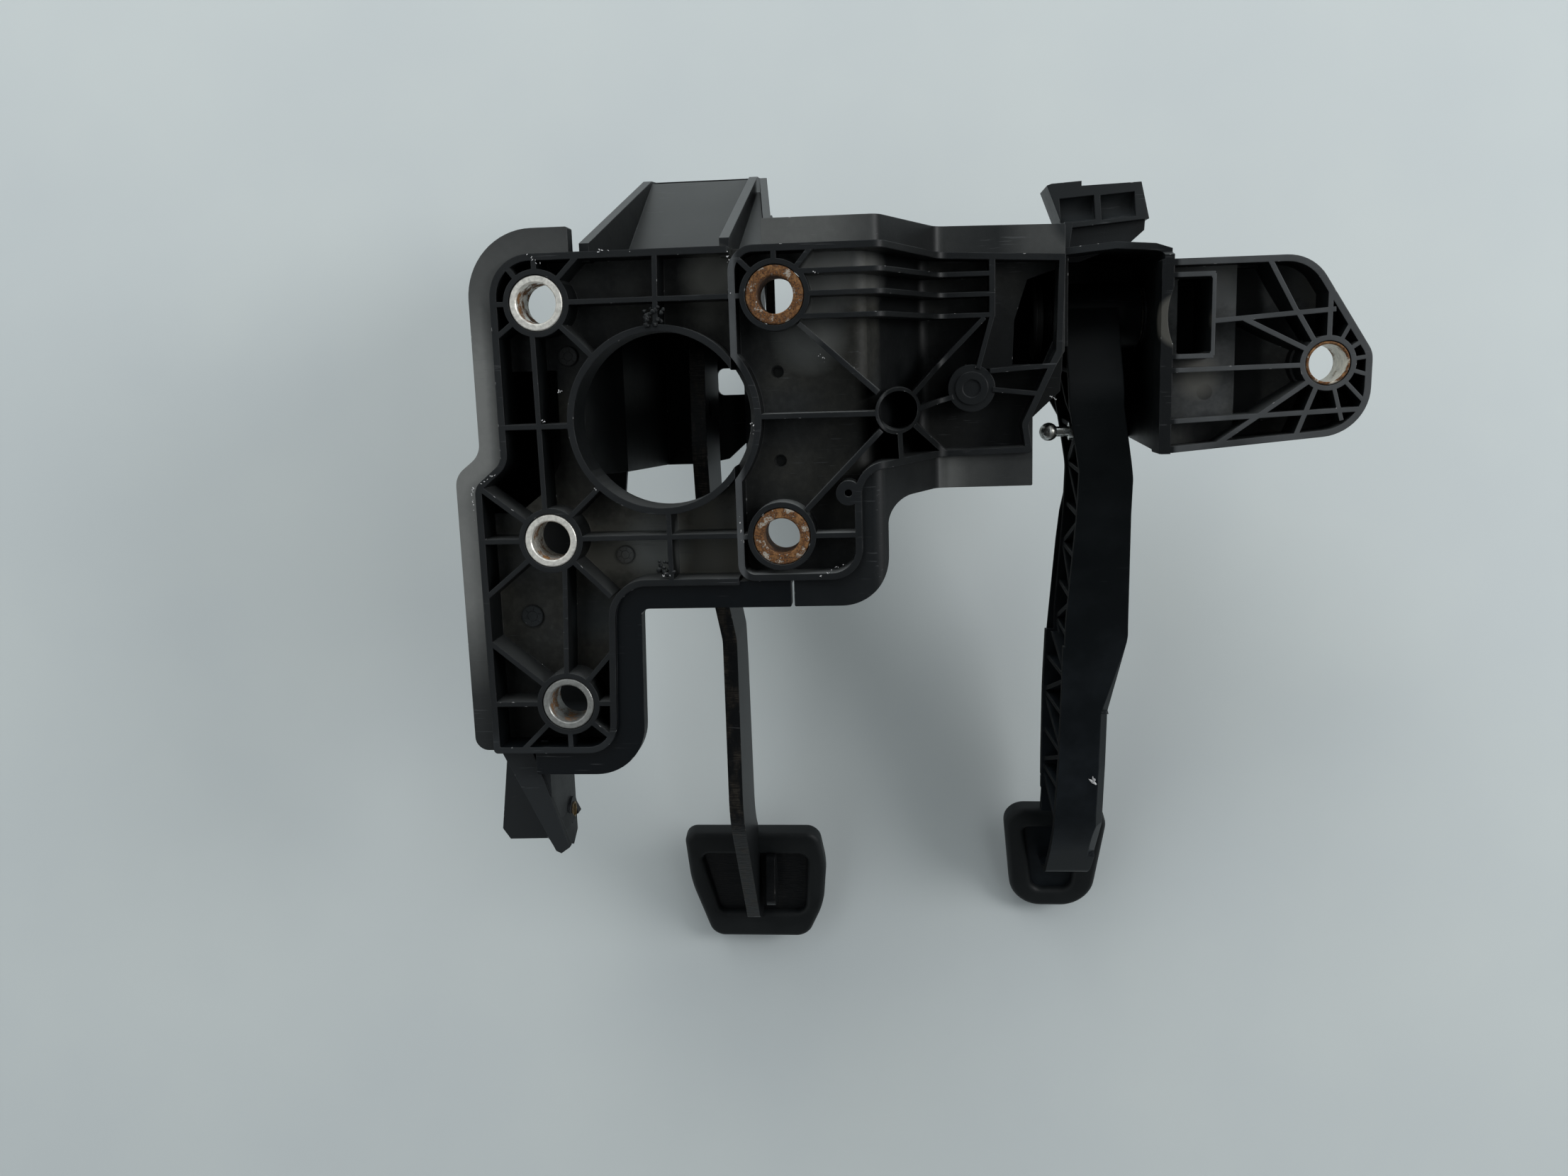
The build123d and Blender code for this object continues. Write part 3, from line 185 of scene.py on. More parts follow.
sky = bpy.data.worlds.new("sky")
bpy.context.scene.world = sky
sky.use_nodes = True
sky_tree = sky.node_tree
path = step(sky_tree, "LightPath").outputs
seen = larger(sky_tree, path["Is Camera Ray"], path["Is Transmission Ray"])
seen = larger(sky_tree, seen, path["Is Glossy Ray"])
strength = ramp(sky_tree, seen, 0, 1, sky_strength, background_strength)
heading = step(sky_tree, "TexCoord").outputs["Generated"]
height = step(sky_tree, "VectorMath", {0: heading, 1: sky_top}, operation="DOT_PRODUCT").outputs["Value"]
slope = ramp(sky_tree, height, -0.6, 0.85, sky_low_share, sky_high_share)
slope = larger(sky_tree, slope, path["Is Camera Ray"])
feed(sky_tree, sky_tree.nodes["Background"], {"Color": sky_colour, "Strength": times(sky_tree, strength, slope)})


def lamp(name, place, aim, size, power, mirrored=True):
    """A round soft lamp, with its width in metres and its power in watts."""
    light = bpy.data.lights.new(name, "AREA")
    light.shape = "DISK"
    light.size = size
    light.energy = power
    made = bpy.data.objects.new(name, light)
    made.location = place
    made.rotation_euler = (aim - place).to_track_quat("-Z", "Y").to_euler()
    made.visible_glossy = mirrored
    bpy.context.scene.collection.objects.link(made)


box_middle = at(80, 60, -60)
lamp("high_lamp", at(-350, -600, 1200), box_middle, 0.9, 9.0, mirrored=False)
lamp("right_lamp", at(1250, -620, 300), box_middle, 0.6, 7.0)
lamp("rear_lamp", at(-100, 1250, 650), box_middle, 1.2, 30.0)

card_width, card_height = 0.72, 3.7
card_place = at(80, -1000, -550)
card_colour = (0.02, 0.022, 0.025, 1)

card_shape = bmesh.new()
bmesh.ops.create_grid(card_shape, x_segments=1, y_segments=1, size=0.5)
bmesh.ops.scale(card_shape, vec=(card_width, card_height, 1), verts=card_shape.verts)
card_shape.transform(Matrix.Translation(card_place) @ Matrix.Rotation(math.radians(90), 4, "X"))
card_mesh = bpy.data.meshes.new("dark_card")
card_shape.to_mesh(card_mesh)
card_shape.free()
dark_card = bpy.data.objects.new("dark_card", card_mesh)
bpy.context.scene.collection.objects.link(dark_card)
card_material, card_tree, card_surface, _ = finish("dark_card")
feed(card_tree, card_surface, {"Base Color": card_colour, "Roughness": 0.9})
clear_where(card_tree, card_surface, step(card_tree, "LightPath").outputs["Is Camera Ray"])
card_mesh.materials.append(card_material)


# Brake bracket: the left moulding, of black glass-filled nylon. It is injection moulded in one piece with its
# ribs, turned edge, brake bay and foot, so it has round-nosed ribs, ejector marks and a dusty satin skin.
def group(name, inputs, outputs):
    """An effect that several finishes share, with its named inputs and outputs."""
    tree = bpy.data.node_groups.new(name, "ShaderNodeTree")
    for title, kind, value in inputs:
        socket = tree.interface.new_socket(title, in_out="INPUT", socket_type="NodeSocket" + kind)
        if kind != "Vector":
            socket.default_value = value
    for title, kind in outputs:
        tree.interface.new_socket(title, in_out="OUTPUT", socket_type="NodeSocket" + kind)
    return tree, tree.nodes.new("NodeGroupInput").outputs, tree.nodes.new("NodeGroupOutput").inputs


def placed(tree, effect, sockets):
    """A shared effect, placed in a finish with its own values."""
    return step(tree, "Group", sockets, node_tree=effect).outputs


def facing_of(tree):
    """Which way the surface faces, in X, Y and Z."""
    return step(tree, "SeparateXYZ", {0: step(tree, "NewGeometry").outputs["True Normal"]}).outputs


def relief(tree, height, strength, distance, normal=None):
    """Fine unevenness of the skin, with its distance in millimetres."""
    sockets = {"Strength": strength, "Distance": distance * mm, "Height": height}
    if normal is not None:
        sockets["Normal"] = normal
    return step(tree, "Bump", sockets).outputs[0]


def rounded_edges_effect():
    """Rounds the light on sharp edges and says where they are."""
    tree, given, out = group("rounded_edges", [("Radius", "Float", 0.4 * mm)],
                             [("Normal", "Vector"), ("Edge", "Float")])
    bevel = step(tree, "Bevel", {"Radius": given["Radius"]}, samples=4).outputs[0]
    true = step(tree, "NewGeometry").outputs["True Normal"]
    turn = step(tree, "VectorMath", {0: bevel, 1: true}, operation="DOT_PRODUCT").outputs["Value"]
    tree.links.new(bevel, out["Normal"])
    tree.links.new(ramp(tree, turn, 0.97, 0.8), out["Edge"])
    return tree


def scratches_effect():
    """Thin straight scratches in three directions, of which some places have more."""
    tree, given, out = group("scratches", [("Place", "Vector", None), ("Scale", "Float", 1.0), ("Share", "Float", 0.3)],
                             [("Mask", "Float")])
    lines = None
    for turn, stretch in ((0.4, 16.0), (1.3, 22.0), (2.3, 18.0)):
        aim = step(tree, "Mapping", {"Vector": given["Place"], "Rotation": (0.3, turn, 0),
                                     "Scale": (1, stretch, stretch)})
        grown = step(tree, "VectorMath", {0: aim.outputs[0], "Scale": given["Scale"]}, operation="SCALE").outputs[0]
        line = ramp(tree, cloud(tree, grown, 60.0, 2.0, 0.5), 0.685, 0.72)
        lines = line if lines is None else larger(tree, lines, line)
    where = cloud(tree, given["Place"], 45.0, 2.0)
    limit = reckoned(tree, "SUBTRACT", 1.0, given["Share"])
    patches = ramp(tree, where, limit, reckoned(tree, "ADD", limit, 0.12))
    tree.links.new(times(tree, lines, patches), out["Mask"])
    return tree


def specks_effect():
    """Small irregular specks, thrown at random."""
    tree, given, out = group("specks", [("Place", "Vector", None), ("Scale", "Float", 400.0), ("Share", "Float", 0.1)],
                             [("Mask", "Float")])
    wobble = step(tree, "TexNoise", {"Vector": given["Place"], "Scale": 900.0}).outputs["Color"]
    bent = step(tree, "VectorMath", {0: wobble, 1: at(1.2, 1.2, 1.2), 2: given["Place"]},
                operation="MULTIPLY_ADD").outputs[0]
    cells = step(tree, "TexVoronoi", {"Vector": bent, "Scale": given["Scale"]})
    chosen = step(tree, "SeparateColor", {0: cells.outputs["Color"]}).outputs[0]
    kept = reckoned(tree, "LESS_THAN", chosen, given["Share"])
    small = ramp(tree, cells.outputs["Distance"], 0.34, 0.26)
    tree.links.new(times(tree, kept, small), out["Mask"])
    return tree


rounded_edges = rounded_edges_effect()
scratches = scratches_effect()
specks = specks_effect()


def tone_along(tree, value, stops):
    """A shade between 0 and 1 that follows a list of places, given in millimetres, and shades."""
    low, high = stops[0][0], stops[-1][0]
    made = step(tree, "ValToRGB", {"Fac": ramp(tree, value, low * mm, high * mm)})
    points = made.color_ramp.elements
    while len(points) < len(stops):
        points.new(0.5)
    for point, (spot, shade) in zip(points, stops):
        point.position = (spot - low) / (high - low)
        point.color = (shade, shade, shade, 1)
    return made.outputs[0]


def round_mark(tree, place, colour, spot, radius, blur, shade, strength):
    """A round mark of another shade at a spot, given in millimetres."""
    away = step(tree, "VectorMath", {0: place, 1: at(*spot)}, operation="DISTANCE").outputs["Value"]
    share = ramp(tree, away, (radius + blur) * mm, radius * mm, 0.0, strength)
    return mixed(tree, share, colour, (*shade, 1))


# Floor colours: dark for bare and shaded floors, pale for dust and for painted light.
dark_floor = (0.002, 0.003, 0.0036, 1)
grey_dust_and_light = (0.1, 0.105, 0.105, 1)
brown_dust_and_light = (0.115, 0.112, 0.096, 1)
clean_nose = (0.002, 0.003, 0.0038, 1)
worn_nose = (0.09, 0.096, 0.1, 1)
clean_side = (0.0026, 0.0034, 0.0038, 1)
hazy_side = (0.007, 0.008, 0.0085, 1)
# Painted shade for faces far down in the recesses.
painted_deep_shade = (0.0012, 0.0018, 0.002, 1)
# Painted light on upward faces.
painted_top_light = (0.14, 0.148, 0.148, 1)
foot_side = (0.0035, 0.0045, 0.0055, 1)
foot_front = (0.017, 0.0195, 0.0215, 1)
# Turned edge colours: dark for clean and shaded edges, pale for dust and painted light.
dark_edge = (0.002, 0.0034, 0.0048, 1)
dusty_and_lit_edge = (0.16, 0.165, 0.16, 1)
driver_side = (0.021, 0.0232, 0.0248, 1)
rubbed_corner = (0.07, 0.075, 0.08, 1)
scratch_grey = (0.1, 0.105, 0.11, 1)
speck_grey = (0.42, 0.42, 0.42, 1)
dust_and_light_gain = 4.0
foot_top = -115


def nylon_finish(name, dust_and_light_along, dust_and_light_down, nose_along, top_light_along, flange_along, set_back, marks_and_light):
    """Black nylon: dark rib sides with painted shade deep in the recesses, floors with dust and painted light and
    shade, a greyer turned edge with dust and painted light, painted light on upward faces, worn rib noses, scratches
    and specks.

    The lists ending in _along and _down give shades at places across and down the box. set_back says between
    which two places across the plate it steps back, and by how much.
    """
    material, tree, surface, place = finish(name)
    edges = placed(tree, rounded_edges, {"Radius": 0.5 * mm})
    where = step(tree, "SeparateXYZ", {0: place}).outputs
    step_start, step_end, step_depth = set_back
    depth = reckoned(tree, "SUBTRACT", where["Y"],
                     ramp(tree, where["X"], step_start * mm, step_end * mm, 0.0, step_depth * mm))
    facing = facing_of(tree)
    front = ramp(tree, facing["Y"], -0.7, -0.88)
    top = ramp(tree, facing["Z"], 0.5, 0.85)
    turned = times(tree, ramp(tree, depth, 1.2 * mm, 1.6 * mm), ramp(tree, depth, 2.9 * mm, 2.4 * mm))
    turned = times(tree, turned, front)
    floor = times(tree, ramp(tree, depth, 8.2 * mm, 10.6 * mm), ramp(tree, depth, 24 * mm, 18 * mm))
    floor = times(tree, floor, ramp(tree, facing["Y"], -0.3, -0.5))
    # Front faces deep in the recesses, and all faces far down them, are darkened as painted shade.
    deep = times(tree, front, ramp(tree, depth, 18 * mm, 26 * mm))
    far = ramp(tree, depth, 20 * mm, 36 * mm)
    foot = ramp(tree, where["Z"], (foot_top + 2) * mm, (foot_top - 2) * mm)
    haze = ramp(tree, cloud(tree, place, 42.0, 5.0, 0.6), 0.36, 0.66)
    fine = ramp(tree, cloud(tree, place, 420.0, 3.0), 0.42, 0.7)
    film = times(tree, ramp(tree, haze, 0, 1, 0.45, 1.0), ramp(tree, fine, 0, 1, 0.72, 1.0))
    patchy = ramp(tree, film, 0, 1, 0.75, 1.1)

    # Sides of the ribs, with painted shade far down in the recesses, and their worn noses and tops, the tops with
    # painted light.
    side_tone = mixed(tree, haze, clean_side, hazy_side)
    side_tone = mixed(tree, times(tree, far, 0.75), side_tone, painted_deep_shade)
    nose = times(tree, tone_along(tree, where["X"], nose_along), ramp(tree, haze, 0, 1, 0.75, 1.1))
    colour = mixed(tree, front, side_tone, mixed(tree, nose, clean_nose, worn_nose))
    # Upward faces are painted lighter, more at some places across the plate than others: painted light from above.
    top_light_share = times(tree, top, tone_along(tree, where["X"], top_light_along))
    colour = mixed(tree, times(tree, top_light_share, patchy), colour, painted_top_light)
    # Painted shade on front faces deep in the recesses.
    colour = mixed(tree, deep, colour, side_tone)
    colour = mixed(tree, foot, colour, mixed(tree, front, foot_side, foot_front))

    # Floors under a film of dust, grey in some places and brown in others, with painted light where light falls on them
    # and painted shade where they are shaded.
    # Dust and painted light together: lighter where light falls on the floors, darker where they are shaded.
    dust = times(tree, film, tone_along(tree, where["X"], dust_and_light_along))
    dust = times(tree, dust, times(tree, tone_along(tree, where["Z"], dust_and_light_down), dust_and_light_gain))
    tint = mixed(tree, ramp(tree, cloud(tree, place, 24.0, 3.0), 0.42, 0.6), grey_dust_and_light, brown_dust_and_light)
    colour = mixed(tree, floor, colour, mixed(tree, dust, dark_floor, tint))

    # Turned edge with dust and painted light and shade, the driver's side and the marks of this moulding, some of them
    # painted light and painted shade.
    flange_shade = times(tree, flange_along(tree, where), patchy)
    colour = mixed(tree, turned, colour, mixed(tree, flange_shade, dark_edge, dusty_and_lit_edge))
    back = times(tree, ramp(tree, facing["Y"], 0.4, 0.8), ramp(tree, film, 0, 1, 0.6, 1.0))
    colour = mixed(tree, back, colour, driver_side)
    for spot, radius, blur, shade, strength in marks_and_light:
        colour = round_mark(tree, place, colour, spot, radius, blur, shade, strength)

    # Rubbed corners, scratches and specks.
    worn = times(tree, edges["Edge"], ramp(tree, cloud(tree, place, 130.0, 4.0), 0.45, 0.66))
    colour = mixed(tree, times(tree, worn, 0.45), colour, rubbed_corner)
    lines = placed(tree, scratches, {"Place": place, "Scale": 1.0, "Share": 0.5})["Mask"]
    shown = ramp(tree, larger(tree, front, top), 0, 1, 0.04, 0.3)
    colour = mixed(tree, times(tree, lines, shown), colour, scratch_grey)
    chips = placed(tree, specks, {"Place": place, "Scale": 620.0, "Share": 0.06})["Mask"]
    chips = times(tree, chips, ramp(tree, edges["Edge"], 0.05, 0.3))
    colour = mixed(tree, chips, colour, speck_grey)

    dull = larger(tree, floor, times(tree, film, 0.6))
    height = reckoned(tree, "ADD", cloud(tree, place, 2600.0, 2.0), times(tree, lines, -0.8))
    feed(tree, surface, {"Base Color": colour, "Roughness": ramp(tree, dull, 0, 1, 0.36, 0.58),
                         "Specular IOR Level": 0.24, "Normal": relief(tree, height, 0.25, 0.12, edges["Normal"])})
    return material


def coat(material, *names):
    """Gives a finish to CAD nodes."""
    for name in names:
        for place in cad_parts[name].material_slots:
            place.material = material


def piece(name, shape, material, body):
    """A finished mesh that rides on a body."""
    mesh = bpy.data.meshes.new(name)
    bmesh.ops.recalc_face_normals(shape, faces=shape.faces)
    shape.to_mesh(mesh)
    shape.free()
    mesh.materials.append(material)
    made = bpy.data.objects.new(name, mesh)
    bpy.context.scene.collection.objects.link(made)
    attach(made, body)
    return made


# Shades at places across and down the plate, which mix dust with painted light and shade, and its marks: the
# spot, the radius, the blur, the shade and how strong it is.
brake_dust_and_light = [(-76, 0.5), (-52, 0.52), (-30, 0.46), (-24, 0.4), (6, 0.42), (12, 0.8), (30, 0.8)]
brake_dust_and_light_down = [(-118, 0.08), (-90, 0.22), (-72, 0.32), (-60, 0.5), (-52, 1.0), (-40, 0.8), (-30, 0.5), (-22, 0.25),
                   (20, 0.22), (40, 0.26), (66, 0.26)]
brake_nose = [(-76, 0.11), (30, 0.11)]
# Painted light on upward faces across the plate.
brake_top_light = [(-80, 0.26), (-40, 0.3), (20, 0.44), (34, 0.36)]
# Painted light on the turned edge down the plate, brightest at the middle of its height.
brake_edge_light_down = [(-118, 0.09), (-100, 0.14), (-82, 0.5), (-64, 1.0), (20, 1.0), (44, 0.5), (72, 0.26)]
brake_marks_and_light = [
    ((-35, 13, 23.6), 3.4, 0.3, (0.055, 0.057, 0.056), 0.7),
    ((-17.7, 13, -49.4), 3.2, 0.3, (0.06, 0.06, 0.058), 0.7),
    ((-54.5, 13, -72.1), 4.0, 0.3, (0.028, 0.034, 0.04), 0.6),
    ((-11.7, 13.5, 47.3), 1.5, 4.0, (0.05, 0.052, 0.05), 0.55),
    ((17.1, 13.5, 35.9), 1.5, 5.0, (0.11, 0.112, 0.1), 0.6),
    ((-27.3, 13.5, 50.4), 1.0, 4.0, (0.05, 0.053, 0.052), 0.6),
    # The three wide soft spots below lighten floors: painted light.
    ((19, 13.5, 50), 5.0, 8.0, (0.2, 0.2, 0.18), 0.75),
    ((-6, 16, -46), 6.0, 9.0, (0.26, 0.275, 0.27), 0.7),
    ((-31, 16, -72), 5.0, 8.0, (0.05, 0.06, 0.066), 0.6),
]
no_set_back = (1000, 2000, 0)


def brake_flange_shade(tree, where):
    """The turned edge: dust and painted light down its outer side and along the top, lighter at the middle of its
    height than at its ends, and painted shade round the inside of the leg.
    """
    outer = ramp(tree, where["X"], -55 * mm, -63 * mm)
    upper = ramp(tree, where["Z"], 30 * mm, 45 * mm)
    return times(tree, tone_along(tree, where["Z"], brake_edge_light_down), larger(tree, outer, upper))


brake_nylon = nylon_finish("brake_bracket_nylon", brake_dust_and_light, brake_dust_and_light_down, brake_nose, brake_top_light,
                           brake_flange_shade, no_set_back, brake_marks_and_light)
coat(brake_nylon, "brake_bracket")

# Witness marks that the mould's pins leave on the floors: two shallow rings with short strokes between them. The
# rings and the strokes are placed and sized as shares of a mark's radius.
mark_depth = 12.7
mark_places = [(-35, 23.6, 3.6), (-17.7, -49.4, 3.4), (-54.5, -72.1, 4.2)]
mark_outer, mark_inner = 0.92, 0.45
mark_strokes = 6
stroke_place, stroke_length = 0.68, 0.28


def edges_of(verts):
    """The edges at some vertices, each once and always in the same order."""
    return list(dict.fromkeys(edge for vert in verts for edge in vert.link_edges))


def ring(shape, centre, radius, wire, segments=32, axis=(0, 1, 0)):
    """A round wire ring about an axis, added to a shape."""
    axis = Vector(axis)
    side = axis.orthogonal().normalized()
    turn = Matrix((side, axis, side.cross(axis))).transposed().to_4x4()
    loop = bmesh.ops.create_circle(shape, segments=8, radius=wire, matrix=Matrix.Translation(Vector((radius, 0, 0))))
    bmesh.ops.spin(shape, geom=loop["verts"] + edges_of(loop["verts"]), cent=(0, 0, 0), axis=(0, 1, 0),
                   angle=2 * math.pi, steps=segments, use_merge=True)
    verts = set(loop["verts"])
    frontier = list(verts)
    while frontier:
        vert = frontier.pop()
        for edge in vert.link_edges:
            other = edge.other_vert(vert)
            if other not in verts:
                verts.add(other)
                frontier.append(other)
    bmesh.ops.transform(shape, matrix=Matrix.Translation(centre) @ turn, verts=list(verts))


def block(shape, centre, size, turn, bevel):
    """A small bar with broken edges, turned in the front view, added to a shape."""
    place = Matrix.Translation(centre) @ Matrix.Rotation(turn, 4, "Y") @ Matrix.Diagonal((*size, 1))
    made = bmesh.ops.create_cube(shape, size=1.0, matrix=place)
    bmesh.ops.bevel(shape, geom=edges_of(made["verts"]), offset=bevel, segments=2, profile=0.5, affect="EDGES",
                    material=-1)


marks = bmesh.new()
for x, z, radius in mark_places:
    centre = at(x, mark_depth, z)
    ring(marks, centre, radius * mark_outer * mm, 0.18 * mm)
    ring(marks, centre, radius * mark_inner * mm, 0.14 * mm, 20)
    for k in range(mark_strokes):
        angle = k * 2 * math.pi / mark_strokes + 0.3
        spot = centre + Vector((math.cos(angle), 0, math.sin(angle))) * radius * stroke_place * mm
        block(marks, spot, (radius * stroke_length * mm, 0.26 * mm, 0.24 * mm), -angle, 0.05 * mm)
piece("floor_marks", marks, brake_nylon, "box")

# Lumps of broken plastic where a rib meets the collar and the lower rim, dark and crumbly.
lump_seed = 7
grain_unevenness = 0.55


def crumbs(shape, centre, spread, count, size, seed):
    """A heap of rough grains."""
    dice = random.Random(seed)
    for _ in range(count):
        offset = Vector([dice.uniform(-1, 1) * s for s in spread])
        radius = dice.uniform(0.5, 1.0) * size
        made = bmesh.ops.create_icosphere(shape, subdivisions=2, radius=radius,
                                          matrix=Matrix.Translation(centre + offset))
        for vert in made["verts"]:
            vert.co += (vert.co - centre - offset) * (grain_unevenness * noise.noise(vert.co * 900))


lumps = bmesh.new()
crumbs(lumps, at(-0.4, 0.6, 36.0), (3.6 * mm, 1.0 * mm, 3.2 * mm), 26, 1.1 * mm, lump_seed)
crumbs(lumps, at(-0.2, 0.6, -52.8), (2.8 * mm, 1.0 * mm, 2.6 * mm), 18, 0.9 * mm, lump_seed + 1)
piece("broken_lumps", lumps, brake_nylon, "box")

# Chips and frayed flakes where the skin has been knocked off the rims, so that the raw plastic shows pale.
flake_size = 0.62
torn_grey = (0.3, 0.3, 0.31, 1)
torn_white = (0.72, 0.72, 0.72, 1)
brake_flake_seed = 11


def bare_plastic():
    """The pale plastic under a torn skin."""
    material, tree, surface, place = finish("bare_plastic")
    tone = ramp(tree, cloud(tree, place, 1500.0), 0.35, 0.65)
    feed(tree, surface, {"Base Color": mixed(tree, tone, torn_grey, torn_white), "Roughness": 0.6})
    return material


def flakes(shape, start, end, count, size, seed):
    """Small torn flakes scattered along a rim from start to end."""
    dice = random.Random(seed)
    for _ in range(count):
        spot = start.lerp(end, dice.random()) + Vector([dice.uniform(-0.5, 0.5) for _ in range(3)]) * mm
        turn = Matrix.Rotation(dice.uniform(0, math.pi), 4, "Y") @ Matrix.Rotation(dice.uniform(-0.4, 0.4), 4, "X")
        form = Matrix.Diagonal((dice.uniform(0.5, 1.6), 0.35, dice.uniform(0.25, 0.7), 1))
        made = bmesh.ops.create_icosphere(shape, subdivisions=1, radius=size * 0.5,
                                          matrix=Matrix.Translation(spot) @ turn @ form)
        for vert in made["verts"]:
            vert.co += (vert.co - spot) * noise.noise(vert.co * 1500)


def rim_chips(name, runs, first_seed):
    """Flakes along the rims of a bracket: where each run starts and ends, and how many it has."""
    shape = bmesh.new()
    for k, (start, end, count) in enumerate(runs):
        flakes(shape, start, end, count, flake_size * mm, first_seed + k)
    piece(name, shape, raw, "box")


raw = bare_plastic()
rim_chips("rim_flakes", [
    (at(-60.5, 0, -17.0), at(-70, 0, -22.5), 12),
    (at(-70, 0, -22.5), at(-69.8, 0, -34), 9),
    (at(-43.5, -0.1, 58.4), at(-39.5, -0.1, 55.0), 7),
    (at(-19, 0, 58.8), at(-14.5, 0, 58.9), 6),
    (at(-9, 0, 58.4), at(-8, 0, 58.4), 2),
    (at(-35.6, 0, 11.4), at(-34.4, 0, 10.8), 4),
    (at(-44, 0, 1.4), at(-41, 0, 0.4), 4),
    (at(-24.6, 0, -23.4), at(-23.6, 0, -24.2), 3),
    (at(-1.8, 0, -55.4), at(2.0, 0, -55.4), 4),
], brake_flake_seed)


# Clutch bracket: the right moulding, of the same nylon. It laps over the brake bracket, steps back beside it and
# carries the clutch bay, the side plate with the fifth sleeve and a small holder.
# Across the plate: a painted highlight on the fold at 79 to 84, painted shade on the deep floor from 89 to 186 and in
# the groove at 213 to 222, and painted light on the side plate's floors, all mixed with dust.
clutch_dust_and_light = [(26, 0.3), (60, 0.34), (75, 0.32), (79, 1.0), (84, 1.0), (89, 0.2), (99, 0.12), (150, 0.0), (186, 0.08),
               (189, 1.0), (209, 0.95), (211.5, 0.8), (213.5, 0.02), (222, 0.05), (226, 0.6), (236, 0.55), (262, 0.8)]
clutch_dust_and_light_down = [(-66, 0.17), (-40, 0.2), (0, 0.23), (26, 0.3), (34, 0.5), (40, 1.0), (62, 1.0)]
clutch_nose = [(26, 0.8), (28.0, 0.8), (29.2, 0.11), (150, 0.09), (181, 0.05), (182, 0.0), (187.6, 0.0), (188.6, 0.6),
               (262, 0.62)]
# Painted light on upward faces across the plate, in bands that follow the folds of the top wall.
clutch_top_light = [(26, 1.0), (74, 1.0), (79, 0.45), (88, 0.2), (96, 0.18), (99, 0.5), (104, 0.3), (112, 0.1), (130, 0.16),
              (148, 0.5), (186, 0.3), (260, 0.3)]
# Painted highlights and light on the turned edge across the plate, below and above.
clutch_edge_light_below = [(0, 0.03), (60, 0.03), (77, 0.05), (82, 0.08), (92, 0.1), (98, 0.3), (104, 0.8), (111, 0.35),
                     (125, 0.18), (146, 0.2)]
clutch_edge_light_above = [(0, 0.62), (60, 0.56), (78, 0.26), (100, 0.2), (122, 0.09), (134, 0.3), (146, 0.35)]
clutch_marks_and_light = [
    ((200.8, 55, 3.1), 2.7, 0.5, (0.008, 0.009, 0.01), 0.85),
    # The next two darken the low floor of the side plate.
    ((210, 54, -26), 9.0, 9.0, (0.003, 0.004, 0.005), 0.8),
    ((201, 54, -12), 4.0, 5.0, (0.003, 0.004, 0.005), 0.85),
    # Painted light on the side plate's floor.
    ((198, 54, 9), 4.0, 6.0, (0.17, 0.166, 0.148), 0.7),
    ((190, 46, 30), 9.0, 2.0, (0.075, 0.073, 0.064), 0.8),
    # The next two lighten floors where ribs shade them: painted light.
    ((53, 13.5, 28), 6.0, 9.0, (0.2, 0.208, 0.2), 0.7),
    ((58, 26, 50), 15.0, 8.0, (0.3, 0.31, 0.3), 0.6),
    ((159, 57, 73), 19.0, 3.0, (0.014, 0.0165, 0.018), 0.85),
    # Painted shade inside the two dimples.
    ((41.3, 11.5, 15.9), 2.1, 0.4, (0.002, 0.003, 0.003), 0.95),
    ((41.4, 11.5, -15.8), 2.1, 0.4, (0.002, 0.003, 0.003), 0.95),
]
clutch_set_back = (79, 100, 45)
lap_flake_seed = 31


def clutch_flange_shade(tree, where):
    """The turned edge: dark below, with painted highlights on its right half where its folds catch the light, and
    painted light along the top.
    """
    below = tone_along(tree, where["X"], clutch_edge_light_below)
    above = tone_along(tree, where["X"], clutch_edge_light_above)
    return mixed(tree, ramp(tree, where["Z"], 50 * mm, 58 * mm), below, above)


clutch_nylon = nylon_finish("clutch_bracket_nylon", clutch_dust_and_light, clutch_dust_and_light_down, clutch_nose, clutch_top_light,
                            clutch_flange_shade, clutch_set_back, clutch_marks_and_light)
coat(clutch_nylon, "clutch_bracket")

# Chips on the edge that laps over the brake bracket, and on the stub beside the ball.
rim_chips("lap_flakes", [
    (at(26.6, 0, 57), at(26.3, 0, 40), 10),
    (at(32.4, 0, -2), at(33.4, 0, -5), 5),
    (at(27.6, 0, -33), at(27.2, 0, -44), 9),
    (at(55, 0, -57), at(66, 0, -51), 8),
    (at(60, 0, 18), at(57, 0, 21), 5),
    (at(54, 0, 48.8), at(62, 0, 49), 4),
    (at(141.3, 45.2, 3.8), at(143.2, 45.2, 2.6), 6),
], lap_flake_seed)


# Sleeves: steel tubes moulded into the brackets so that the bolts don't crush them. The thin ones are zinc plated
# and rusty inside, the lower left one painted darker than its neighbours as a dimmer reflection and the side one
# rusty on its ring as well, and the two thick ones have rusted all over.
deep_rust = (0.026, 0.01, 0.004, 1)
dry_rust = (0.2, 0.083, 0.022, 1)
orange_rust = (0.34, 0.18, 0.07, 1)
bright_zinc = (0.93, 0.91, 0.84, 1)
# Plating of the lower left sleeve, painted darker as a dimmer reflection.
dim_reflection_zinc = (0.33, 0.335, 0.32, 1)
side_zinc = (0.6, 0.56, 0.47, 1)
bare_steel = (0.62, 0.58, 0.5, 1)
front_mouth = 0
side_mouth = 45
dull_share = 0.72


